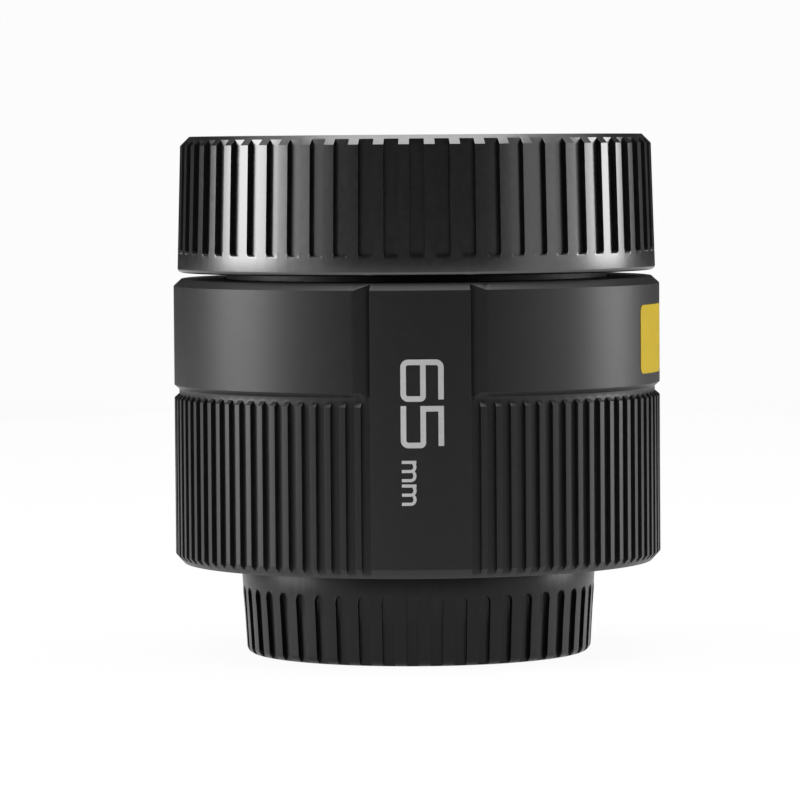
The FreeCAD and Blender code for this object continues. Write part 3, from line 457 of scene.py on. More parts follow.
def grain(tree, shader, base, spread, cells_per_mm, roughness, rough_spread, bump):
    """Fine variation of colour, roughness and height, all from one noise."""
    place = add_node(tree, "ShaderNodeTexCoord", (-900, 0))
    noise = add_node(tree, "ShaderNodeTexNoise", (-700, 0),
                     [("Vector", place.outputs["Object"])],
                     Scale=cells_per_mm / MM, Detail=6.0, Roughness=0.6)
    cells = noise.outputs["Fac"]
    least, most = 0.3, 0.7
    ramp = add_node(tree, "ShaderNodeValToRGB", (-450, 200), [("Fac", cells)])
    dark, light = ramp.color_ramp.elements
    dark.position, light.position = least, most
    dark.color = (*[c * (1 - spread) for c in base], 1.0)
    light.color = (*[min(1.0, c * (1 + spread)) for c in base], 1.0)
    span = add_node(tree, "ShaderNodeMapRange", (-450, -50), [("Value", cells)],
                    From_Min=least, From_Max=most,
                    To_Min=roughness - rough_spread, To_Max=roughness + rough_spread)
    relief = add_node(tree, "ShaderNodeBump", (-200, -300), [("Height", cells)],
                      Strength=bump, Distance=0.02 * MM)
    tree.links.new(ramp.outputs["Color"], shader.inputs["Base Color"])
    tree.links.new(span.outputs["Result"], shader.inputs["Roughness"])
    tree.links.new(relief.outputs["Normal"], shader.inputs["Normal"])
    return relief


def turning_marks(tree, relief, pitch, strength):
    """Fine turned rings along the axis, added to the relief that the grain gives."""
    place = add_node(tree, "ShaderNodeTexCoord", (-1100, -600))
    split = add_node(tree, "ShaderNodeSeparateXYZ", (-900, -600),
                     [("Vector", place.outputs["Object"])])
    wave = add_node(tree, "ShaderNodeMath", (-700, -600), [(0, split.outputs["Z"])],
                    operation="MULTIPLY")
    wave.inputs[1].default_value = 2 * math.pi / pitch
    ripple = add_node(tree, "ShaderNodeMath", (-500, -600), [(0, wave.outputs["Value"])],
                      operation="SINE")
    rings = add_node(tree, "ShaderNodeBump", (-300, -600), [("Height", ripple.outputs["Value"])],
                     Strength=strength, Distance=0.005 * MM)
    tree.links.new(rings.outputs["Normal"], relief.inputs["Normal"])


def patterned(name, tone, metallic, roughness, spread, cells_per_mm, rough_spread, bump,
              pitch=0.0, ring_depth=0.0, **sockets):
    """A material with its grain, and with tool marks where it has a pitch."""
    base = getattr(bpy.context.scene.lens_colours, tone)
    material, tree, shader = new_finish(name, base, metallic, roughness, **sockets)
    relief = grain(tree, shader, base, spread, cells_per_mm, roughness, rough_spread, bump)
    if pitch:
        turning_marks(tree, relief, pitch, ring_depth)
    return material


def finish_of(name):
    """The material of that name, made once."""
    return bpy.data.materials.get(name) or patterned(name, **FINISHES[name])


# Pieces. A turned piece has STEPS columns of faces round it. One rib, slot or groove and its gap
# take up PITCH_STEPS of them, of which CHANNEL_STEPS or CUT_STEPS are cut.

class LENS_OT_barrel(bpy.types.Operator):
    """Barrel with its ribbed grip, smooth band, groove, pad and side channels"""
    bl_idname = "lens.barrel"
    bl_label = "Barrel"

    STEPS = 500
    PAD_STEPS = 16
    PITCH_STEPS = 5
    CHANNEL_STEPS = 3
    SIDE_STEPS = 5

    def column(self, angle):
        """Which column, counted from the pad's middle, holds the angle."""
        return int(abs(angle) * self.STEPS / FULL_TURN)

    def line(self, angle):
        """Which line between columns the angle is at, counted from the pad's edge."""
        return round(abs(angle) * self.STEPS / FULL_TURN) - self.PAD_STEPS

    def side_floor(self, size, lines):
        """Distance of a side channel's floor from the axis, so many lines from the pad."""
        share = min(max(lines, 0), self.SIDE_STEPS) / self.SIDE_STEPS
        return size.radius - size.side_depth * (1 - share)

    def execute(self, context):
        size = context.scene.lens_barrel
        low, high = BARREL_LOW.z, BARREL_HIGH.z
        radius = size.radius
        foot = low + size.foot_height * (1 - size.rib_depth / size.foot_width)
        groove_low = low + size.groove_start
        groove_high = groove_low + size.groove_width
        slope = size.head_height / size.head_width
        head = high - size.head_height
        lip = head + size.side_depth * slope
        section = [
            (radius - size.foot_width, low),
            (radius - size.rib_depth, foot),
            (radius, low + size.foot_height),
            (radius, groove_low),
            (radius, groove_high),
            (radius, head),
            (radius - size.side_depth, lip),
            (radius - size.head_width, high),
            (size.bore, high),
            (size.bore, low + size.floor_height),
            (size.floor_bore, low + size.floor_height),
            (size.floor_bore, low),
            (radius - size.foot_width, low),
        ]
        piece = turned_piece("barrel_shell", self.STEPS, section)
        self.cut_groove(piece, size, groove_low, groove_high)
        groove_slope = (size.groove_width - size.groove_floor) / 2
        self.cut_ribs(piece, size, foot, groove_low + groove_slope)
        self.cut_sides(piece, size, groove_high - groove_slope, head, lip, slope)
        dress(piece, size.edge)
        hand_over(piece, finish_of("anodised_black_aluminium"), "housing", ["barrel"])
        return {"FINISHED"}

    def cut_ribs(self, piece, size, foot, top):
        """Sink the channels between the ribs, open into the groove above them."""
        floor = size.radius - size.rib_depth
        select(piece, "FACE", lambda radius, angle, height: (
            foot < height < top and radius > size.bore
            and self.column(angle) >= self.PAD_STEPS
            and (self.column(angle) - self.PAD_STEPS) % self.PITCH_STEPS < self.CHANNEL_STEPS))
        sink(piece, lambda angle, height: floor)
        merge(piece)

    def cut_groove(self, piece, size, low, high):
        """Sink the groove round the barrel, narrower at its floor."""
        middle = (low + high) / 2
        select(piece, "FACE", lambda radius, angle, height: (
            low < height < high and radius > size.bore + size.head_width
            and self.column(angle) >= self.PAD_STEPS))
        bpy.ops.mesh.extrude_region_move()
        ratio = 1 - size.groove_depth / size.radius
        bpy.ops.transform.resize(value=(ratio, ratio, size.groove_floor / size.groove_width),
                                 center_override=(0, 0, middle))
        merge(piece)

    def cut_sides(self, piece, size, low, head, lip, slope):
        """Sink the sloping channels beside the pad, out through the upper chamfer."""
        deepest = size.radius - size.side_depth
        select(piece, "VERT", lambda radius, angle, height: (
            abs(height - lip) < MERGE_DISTANCE and radius > size.bore + size.head_width / 2
            and 0 <= self.line(angle) <= self.SIDE_STEPS))
        moved = corners_by(piece, lambda radius, angle, height: self.line(angle))
        for line, indices in moved.items():
            floor = self.side_floor(size, line)
            scale_corners(piece, indices, floor / deepest)
            bpy.ops.transform.translate(
                value=(0, 0, (size.radius - floor) * slope - size.side_depth * slope))
        select(piece, "FACE", lambda radius, angle, height: (
            low < height < lip - MERGE_DISTANCE and radius > deepest
            and 0 <= self.column(angle) - self.PAD_STEPS < self.SIDE_STEPS
            and (height < head or radius > self.side_floor(
                size, self.column(angle) + 0.5 - self.PAD_STEPS))))
        sink(piece, lambda angle, height: self.side_floor(size, self.line(angle)))
        merge(piece)


class Cuts:
    """Counts the columns of a turned piece whose cuts repeat all round it."""

    def line(self, angle):
        """Which line between columns the angle is at, counted from its cut's middle."""
        step = round(angle * self.STEPS / FULL_TURN)
        return abs((step + self.PITCH_STEPS // 2) % self.PITCH_STEPS - self.PITCH_STEPS // 2)

    def in_cut(self, angle):
        """Whether a column lies in a cut."""
        step = math.floor(angle * self.STEPS / FULL_TURN) + 0.5
        place = (step + self.PITCH_STEPS / 2) % self.PITCH_STEPS - self.PITCH_STEPS / 2
        return abs(place) < self.CUT_STEPS / 2

    def column_width(self, radius):
        """Width of one column at a distance from the axis."""
        return radius * math.radians(FULL_TURN / self.STEPS)

    def column_end(self, end, angle):
        """Height of a cut's rounded end at a column, from the lines at both its sides."""
        beside = FULL_TURN / self.STEPS / 2
        return (end(angle - beside) + end(angle + beside)) / 2


class LENS_OT_focus_ring(Cuts, bpy.types.Operator):
    """Slotted focus ring with its mouth and its web"""
    bl_idname = "lens.focus_ring"
    bl_label = "Focus Ring"

    STEPS = 1440
    PITCH_STEPS = 24
    CUT_STEPS = 14
    SKIRT_BORE = 28.29 * MM
    MOUTH_CHAMFER = 0.5 * MM
    WEB_CHAMFER_WIDTH = 1.5 * MM
    WEB_CHAMFER_HEIGHT = 2.5 * MM

    def execute(self, context):
        size = context.scene.lens_ring
        low, high = RING_LOW.z, RING_HIGH.z
        shoulder = high - size.chamfer
        draft = (size.foot_radius - size.head_radius) / (shoulder - low)
        start = low + size.slot_start
        lip = shoulder + size.slot_depth
        web = high - size.web_drop

        def outside(height):
            return size.foot_radius - draft * (height - low)

        rounding = rounded(outside(low + size.foot_round) - size.foot_round,
                           low + size.foot_round, size.foot_round, steps=6)
        section = rounding + [
            (outside(start - size.edge * 2), start - size.edge * 2),
            (outside(start), start),
            (outside(start + size.slot_corner), start + size.slot_corner),
            (size.head_radius, shoulder),
            (size.head_radius - size.slot_depth, lip),
            (size.head_radius - size.chamfer, high),
            (size.mouth + self.MOUTH_CHAMFER, high),
            (size.mouth, high - self.MOUTH_CHAMFER),
            (size.mouth, web + self.WEB_CHAMFER_HEIGHT),
            (size.mouth - self.WEB_CHAMFER_WIDTH, web),
            (size.web_bore, web),
            (size.web_bore, web - size.web_height),
            (self.SKIRT_BORE, web - size.web_height),
            (self.SKIRT_BORE, low),
            rounding[0],
        ]
        piece = turned_piece("focus_ring_shell", self.STEPS, section)
        self.cut_slots(piece, size, start, shoulder, lip, outside)
        dress(piece, size.edge)
        turn_piece(piece, size.turned)
        hand_over(piece, finish_of("polished_black_aluminium"), "focus_ring", ["focus_ring"])
        return {"FINISHED"}

    def cut_slots(self, piece, size, start, shoulder, lip, outside):
        """Round the slots' lower corners, then sink them, out through the chamfer."""
        half = self.CUT_STEPS // 2
        column = self.column_width(size.foot_radius)
        flat = half * column - size.slot_corner

        def end(angle):
            reach = min(max(self.line(angle) * column - flat, 0), size.slot_corner)
            return start + size.slot_corner - math.sqrt(size.slot_corner ** 2 - reach ** 2)

        select(piece, "VERT", lambda radius, angle, height: (
            abs(height - start) < MERGE_DISTANCE and radius > size.mouth
            and self.line(angle) <= half))
        to_height(piece, lambda radius, angle: end(angle))
        merge(piece)
        select(piece, "FACE", lambda radius, angle, height: (
            self.column_end(end, angle) < height < lip
            and radius > size.head_radius - size.slot_depth and self.in_cut(angle)))
        sink(piece, lambda angle, height: outside(min(height, shoulder)) - size.slot_depth)
        merge(piece)


class LENS_OT_rear_cap(Cuts, bpy.types.Operator):
    """Push-on rear cap with its grip grooves"""
    bl_idname = "lens.rear_cap"
    bl_label = "Rear Cap"

    STEPS = 1472
    PITCH_STEPS = 32
    CUT_STEPS = 16
    # Radius of the ring of corners that closes to one point in the middle of the floor.
    POLE = 0.5 * MM
    # Height of a row of corners half way up the grip.
    GRIP_ROW = 6.0 * MM
    # How far a groove starts below the first corners that stand out from its floor.
    BELOW_ROW = 0.1 * MM

    def execute(self, context):
        size = context.scene.lens_cap
        low, high = CAP_LOW.z, CAP_HIGH.z
        slope = (size.rim_radius - size.foot_radius) / (high - low)
        across = size.foot_radius + slope * size.edge_round - size.edge_round
        rounding = rounded(across, low + size.edge_round, size.edge_round, steps=10)
        inside = size.foot_radius + slope * size.floor_height - size.wall

        def wall(height):
            return size.foot_radius + slope * (height - low)

        rows = [(wall(height), height) for height in (
            low + self.GRIP_ROW, low + size.groove_top, low + size.groove_top + size.edge * 2)]
        section = [(self.POLE, low)] + rounding + rows + [
            (size.rim_radius, high),
            (size.rim_radius - size.wall, high),
            (inside, low + size.floor_height),
            (self.POLE, low + size.floor_height),
        ]
        piece = turned_piece("rear_cap_shell", self.STEPS, section)
        for level in (low, low + size.floor_height):
            select(piece, "VERT", lambda radius, angle, height: (
                radius < 2 * self.POLE and abs(height - level) < MERGE_DISTANCE))
            bpy.ops.mesh.merge(type="CENTER")
        merge(piece)
        foot = min(height for radius, height in rounding
                   if radius > wall(height) - size.groove_depth)
        self.cut_grooves(piece, size, foot - self.BELOW_ROW, low + size.groove_top, wall, inside)
        dress(piece, size.edge)
        turn_piece(piece, size.turned)
        hand_over(piece, finish_of("moulded_black_plastic"), "rear_cap", ["rear_cap"])
        return {"FINISHED"}

    def cut_grooves(self, piece, size, foot, top, wall, inside):
        """Round the grooves' upper ends, then sink them, out through the rounded edge."""
        half = self.CUT_STEPS // 2
        column = self.column_width(size.foot_radius)

        def end(angle):
            line = min(self.line(angle), half)
            return top - half * column + column * math.sqrt(half ** 2 - line ** 2)

        select(piece, "VERT", lambda radius, angle, height: (
            abs(height - top) < MERGE_DISTANCE and radius > inside
            and self.line(angle) <= half))
        to_height(piece, lambda radius, angle: end(angle))
        select(piece, "FACE", lambda radius, angle, height: (
            foot < height < self.column_end(end, angle) and radius > inside
            and radius > wall(height) - size.groove_depth and self.in_cut(angle)))
        sink(piece, lambda angle, height: wall(height) - size.groove_depth)
        merge(piece)


class Pen:
    """Draws flat strokes on a plane that faces -Y, in front of the pad."""

    TURN_STEPS = 8
    # How near to the pen's place an edge is taken for the stroke's end.
    END_REACH = 0.005 * MM

    def __init__(self, width, across, up, heading):
        self.width = width
        self.place = Vector((across, DRAWING_PLANE, up))
        self.heading = Vector((heading[0], 0, heading[1]))
        self.stroke = None

    def pick_end(self):
        """Select the edge at the stroke's end."""
        def near(edge):
            middle = (edge.verts[0].co + edge.verts[1].co) / 2
            return (middle - self.place).length < self.END_REACH

        if not pick(self.stroke, "EDGE", lambda mesh: list(filter(near, mesh.edges))[:1]):
            raise ValueError("the stroke has no end to go on from")

    def go(self, distance):
        """Draw straight on."""
        ahead = self.heading * distance
        if self.stroke is None:
            begin_clean()
            bpy.ops.mesh.primitive_plane_add(size=1.0, location=self.place + ahead / 2,
                                             rotation=(math.radians(90), 0, 0))
            bpy.context.object.scale = (abs(ahead.x) or self.width, abs(ahead.z) or self.width, 1)
            self.stroke = new_piece("stroke")
        else:
            self.pick_end()
            bpy.ops.mesh.extrude_edges_move(TRANSFORM_OT_translate={"value": ahead})
        self.place = self.place + ahead

    def left(self):
        """Unit vector to the left of the heading."""
        return Vector((-self.heading.z, 0, self.heading.x))

    def corner(self, side):
        """Draw a square corner, to the left (side 1) or to the right (side -1)."""
        self.go(self.width)
        sideways = self.left() * side
        self.place = self.place + (sideways - self.heading) * self.width / 2
        self.heading = sideways

    def turn(self, radius, side, share=1.0):
        """Draw a share of a quarter turn, to the left (side 1) or to the right (side -1)."""
        angle = math.radians(90) * share
        sideways = self.left() * side
        self.pick_end()
        bpy.ops.mesh.spin(steps=self.TURN_STEPS, angle=angle * side,
                          center=self.place + sideways * radius, axis=(0, 1, 0))
        ahead, across = math.sin(angle), 1 - math.cos(angle)
        self.place = self.place + (self.heading * ahead + sideways * across) * radius
        self.heading = self.heading * math.cos(angle) + sideways * math.sin(angle)


class LENS_OT_marking(bpy.types.Operator):
    """Focal length printed on the pad, and the blank sticker at the side"""
    bl_idname = "lens.marking"
    bl_label = "Marking"

    # Outer radius of a digit's corners, and of those at its middle bar.
    OUTER = 1.1 * MM
    SMALL_OUTER = 0.8 * MM
    # Length of a digit's top bar, as a share of its width.
    BAR_SHARE = 0.95
    # Flat top of a letter's arch, and how much of a quarter turn its left side makes.
    CROWN = 0.05 * MM
    SHOULDER = 0.55
    # Width and number of the strips that a flat piece is divided into.
    STRIP = 0.5 * MM
    STRIPS_EACH_SIDE = 12

    def pen(self, width, foot, top, along, up, heading):
        """A pen at a place of a glyph: along its reading direction, up from its foot."""
        return Pen(width, up - foot, top - along, heading)

    def six(self, size, top):
        """Digit six, one stroke from its top bar round to its middle bar."""
        stroke, half = size.digit_stroke, size.digit_stroke / 2
        bar = size.digit_width * self.BAR_SHARE
        pen = self.pen(stroke, size.digit_foot, top, bar, size.digit_height - half, (0, 1))
        pen.go(bar - self.OUTER)
        pen.turn(self.OUTER - half, 1)
        pen.go(size.digit_height - 2 * self.OUTER)
        pen.turn(self.OUTER - half, 1)
        pen.go(size.digit_width - 2 * self.OUTER)
        self.bowl(size, pen)
        pen.go(size.digit_width - self.SMALL_OUTER - stroke)
        return [pen.stroke]

    def five(self, size, top):
        """Digit five, one stroke from its foot bar up to its top bar."""
        stroke, half = size.digit_stroke, size.digit_stroke / 2
        pen = self.pen(stroke, size.digit_foot, top, 0, half, (0, -1))
        pen.go(size.digit_width - self.OUTER)
        self.bowl(size, pen)
        pen.go(size.digit_width - self.SMALL_OUTER - stroke)
        pen.corner(-1)
        pen.go(size.digit_height - size.digit_middle - stroke * 1.5)
        pen.corner(-1)
        pen.go(size.digit_width * self.BAR_SHARE - stroke)
        return [pen.stroke]

    def bowl(self, size, pen):
        """From the foot bar round the right side to the middle bar."""
        half = size.digit_stroke / 2
        pen.turn(self.OUTER - half, 1)
        pen.go(size.digit_middle + half - self.SMALL_OUTER - self.OUTER)
        pen.turn(self.SMALL_OUTER - half, 1)

    def letter(self, size, top):
        """One letter of the unit: a stem and two arches."""
        stroke, half = size.unit_stroke, size.unit_stroke / 2
        stem = self.pen(stroke, size.unit_foot, top, half, 0, (1, 0))
        stem.go(size.unit_height)
        radius = (size.unit_width - stroke) / 4
        strokes = [stem.stroke]
        for middle in (half + radius, half + 3 * radius):
            for heading, side in ((-1, -1), (1, 1)):
                pen = self.pen(stroke, size.unit_foot, top, middle, size.unit_height - half,
                               (0, heading))
                pen.go(self.CROWN)
                pen.turn(radius - self.CROWN, side, 1.0 if side < 0 else self.SHOULDER)
                if side < 0:
                    pen.go(size.unit_height - half - radius + self.CROWN)
                strokes.append(pen.stroke)
        return strokes

    def wrap(self, piece, thickness):
        """Divide the flat piece, lay it on the pad and give it its thickness."""
        pick(piece, "FACE", lambda mesh: [face for face in mesh.faces if face.normal.y > 0])
        bpy.ops.mesh.flip_normals()
        for step in range(-self.STRIPS_EACH_SIDE, self.STRIPS_EACH_SIDE + 1):
            bpy.ops.mesh.select_all(action="SELECT")
            bpy.ops.mesh.bisect(plane_co=(step * self.STRIP, 0, 0), plane_no=(1, 0, 0))
        bpy.ops.object.mode_set(mode="OBJECT")
        add_modifier(piece, "SHRINKWRAP", target=bpy.data.objects["barrel_shell"],
                     wrap_method="PROJECT", use_project_y=True, use_positive_direction=True)
        add_modifier(piece, "SOLIDIFY", thickness=thickness, offset=1.0)

    def execute(self, context):
        size = context.scene.lens_mark
        strokes = self.six(size, size.digit_top)
        strokes += self.five(size, size.digit_top - size.digit_pitch)
        strokes += self.letter(size, size.unit_top)
        strokes += self.letter(size, size.unit_top - size.unit_pitch)
        begin_clean()
        for stroke in strokes:
            stroke.select_set(True)
        context.view_layer.objects.active = strokes[0]
        bpy.ops.object.join()
        mark = context.object
        mark.name = mark.data.name = "focal_length_mark"
        bpy.ops.object.mode_set(mode="EDIT")
        merge(mark)
        self.wrap(mark, size.ink)
        hand_over(mark, finish_of("printed_grey_ink"), "housing")
        self.add_sticker(size)
        return {"FINISHED"}

    def add_sticker(self, size):
        """Plain yellow sticker, laid on the pad and turned round to its place."""
        begin_clean()
        middle = (size.sticker_low + size.sticker_high) / 2
        bpy.ops.mesh.primitive_plane_add(size=1.0, location=(0, DRAWING_PLANE, middle),
                                         rotation=(math.radians(90), 0, 0))
        bpy.context.object.scale = (size.sticker_width,
                                    size.sticker_high - size.sticker_low, 1)
        sticker = new_piece("blank_sticker")
        bpy.ops.mesh.bevel(offset=size.sticker_corner, segments=6, affect="VERTICES")
        self.wrap(sticker, size.sticker_thickness)
        turn_piece(sticker, size.sticker_place)
        bpy.ops.object.shade_smooth_by_angle(angle=SHARP)
        hand_over(sticker, finish_of("yellow_vinyl"), "housing")


class LENS_OT_retainer(bpy.types.Operator):
    """Front retaining ring with its baffle steps and spanner slots"""
    bl_idname = "lens.retainer"
    bl_label = "Front Retaining Ring"

    STEPS = 240
    RIM_BAFFLES = 3
    BAFFLES = 8
    # How far down its step a baffle is cut back.
    BAFFLE_SLOPE = 0.7
    # Half a spanner slot's width, and its distance from the rim's edges.
    SLOT_DEGREES = 2.25
    SLOT_MARGIN = 0.15 * MM

    def execute(self, context):
        size = context.scene.lens_front
        low, high = RETAINER_LOW.z, RETAINER_HIGH.z
        outer = RETAINER_HIGH.x
        flange = high - size.flange
        waist = size.lip_radius - size.lip_wall
        section = [(size.hold, low), (size.lip_radius, low), (size.lip_radius, flange),
                   (outer, flange), (outer, high), (outer - size.rim, high)]
        section += self.baffles((outer - size.rim, high), (waist, flange), self.RIM_BAFFLES,
                                size.step)
        section += self.baffles((waist, flange), (size.hold, low), self.BAFFLES, size.step)
        piece = turned_piece("front_retaining_ring_shell", self.STEPS, section)
        select(piece, "FACE", lambda radius, angle, height: (
            abs(height - high) < MERGE_DISTANCE and radius > outer - size.rim
            and abs(abs(angle) - 90) < self.SLOT_DEGREES))
        bpy.ops.mesh.inset(thickness=self.SLOT_MARGIN)
        bpy.ops.mesh.extrude_region_move(
            TRANSFORM_OT_translate={"value": (0, 0, -size.slot_depth)})
        merge(piece)
        dress(piece, size.edge)
        hand_over(piece, finish_of("turned_black_aluminium"), "lens_cell",
                  ["front_retaining_ring"])
        return {"FINISHED"}

    def baffles(self, start, end, count, depth):
        """Steps of a section from start down to end, each cut back outwards."""
        corners = []
        for step in range(1, count + 1):
            share = step / count
            across = start[0] + (end[0] - start[0]) * share
            up = start[1] + (end[1] - start[1]) * share
            before = start[1] + (end[1] - start[1]) * (share - 1 / count)
            cut = before * (1 - self.BAFFLE_SLOPE) + up * self.BAFFLE_SLOPE
            corners += [(across + depth * (step < count), cut), (across, up)]
        return corners


class LENS_OT_screws(bpy.types.Operator):
    """Countersunk screws of the focus ring and of the rear mount"""
    bl_idname = "lens.screws"
    bl_label = "Screws"

    STEPS = 48
    SCREWS_IN_SET = 3
    # Ring of corners on the head's face, as a share of the recess, and the closed tip.
    FACE_RING = 1.3
    TIP = 0.001 * MM
    TIP_CHAMFER = 0.2 * MM
    EDGE = 0.04 * MM
    EDGE_ANGLE = math.radians(35)

    def execute(self, context):
        size = context.scene.lens_front
        self.add_set("ring_screw", "ring_screws", "focus_ring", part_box("ring_screws")[1].z, -1,
                     context.scene.lens_ring.turned, size)
        self.add_set("mount_screw", "mount_screws", "housing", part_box("mount_screws")[0].z, 1,
                     0.0, size)
        return {"FINISHED"}

    def add_set(self, name, node, body, face, direction, turned, size):
        """Model one screw on the pad's side, then copy it round the axis."""
        cone = size.head_radius - size.shank_radius
        section = [(size.recess_radius * self.FACE_RING, 0.0), (size.head_radius, 0.0),
                   (size.shank_radius, direction * cone),
                   (size.shank_radius, direction * (size.screw_length - self.TIP_CHAMFER)),
                   (size.shank_radius - self.TIP_CHAMFER, direction * size.screw_length),
                   (self.TIP, direction * size.screw_length)]
        piece = turned_piece(name + "_1", self.STEPS, section)
        select(piece, "VERT", lambda radius, angle, height: (
            radius < size.head_radius - MERGE_DISTANCE and abs(height) < MERGE_DISTANCE))
        bpy.ops.mesh.edge_face_add()
        merge(piece)
        bpy.ops.object.mode_set(mode="OBJECT")
        self.cut_recess(piece, size)
        add_modifier(piece, "BEVEL", width=self.EDGE, segments=2, limit_method="ANGLE",
                     angle_limit=self.EDGE_ANGLE)
        bpy.ops.object.shade_smooth_by_angle(angle=SHARP)
        piece.location = (0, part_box(node)[0].y + size.head_radius, face)
        bpy.ops.object.transform_apply(location=True, rotation=False, scale=False)
        turn_piece(piece, turned)
        hand_over(piece, finish_of("machined_steel"), body, [node])
        for index in range(1, self.SCREWS_IN_SET):
            copy = piece.copy()
            copy.data = piece.data.copy()
            bpy.context.scene.collection.objects.link(copy)
            copy.name = copy.data.name = "%s_%d" % (name, index + 1)
            begin_clean()
            copy.select_set(True)
            bpy.context.view_layer.objects.active = copy
            turn_piece(copy, math.radians(FULL_TURN / self.SCREWS_IN_SET) * index)

    def cut_recess(self, piece, size):
        """Cut the hexagon recess into the screw's face."""
        bpy.ops.object.select_all(action="DESELECT")
        bpy.ops.mesh.primitive_cylinder_add(vertices=6, radius=size.recess_radius,
                                            depth=2 * size.recess_depth, location=(0, 0, 0))
        cutter = bpy.context.object
        bpy.ops.object.select_all(action="DESELECT")
        piece.select_set(True)
        bpy.context.view_layer.objects.active = piece
        add_modifier(piece, "BOOLEAN", object=cutter, operation="DIFFERENCE", solver="EXACT")
        bpy.data.objects.remove(cutter)


class LENS_OT_finishes(bpy.types.Operator):
    """Materials of the pieces that keep their own CAD shape"""
    bl_idname = "lens.finishes"
    bl_label = "Other Finishes"

    KEPT = {
        "turned_black_aluminium": (
            "mount_ring", "end_ring", "focus_neck", "lens_tube", "front_retaining_ring",
            "third_retaining_ring", "rear_retaining_ring", "front_spacer", "rear_spacer",
            "aperture_stop"),
        "turned_brass": ("helicoid_sleeve", "thrust_ring"),
        "machined_steel": (
            "mount_screws", "ring_screws", "guide_key_1", "guide_key_2", "guide_key_3",
            "stop_key"),
        "pressed_felt": ("felt_seal",),
        "coated_optical_glass": (
            "front_element", "second_element", "third_element", "fourth_element",
            "fifth_element", "rear_element"),
    }

    def execute(self, context):
        for name, nodes in self.KEPT.items():
            for node in nodes:
                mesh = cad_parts[node].data
                if not mesh.materials:
                    mesh.materials.append(None)
                for index in range(len(mesh.materials)):
                    mesh.materials[index] = finish_of(name)
        return {"FINISHED"}


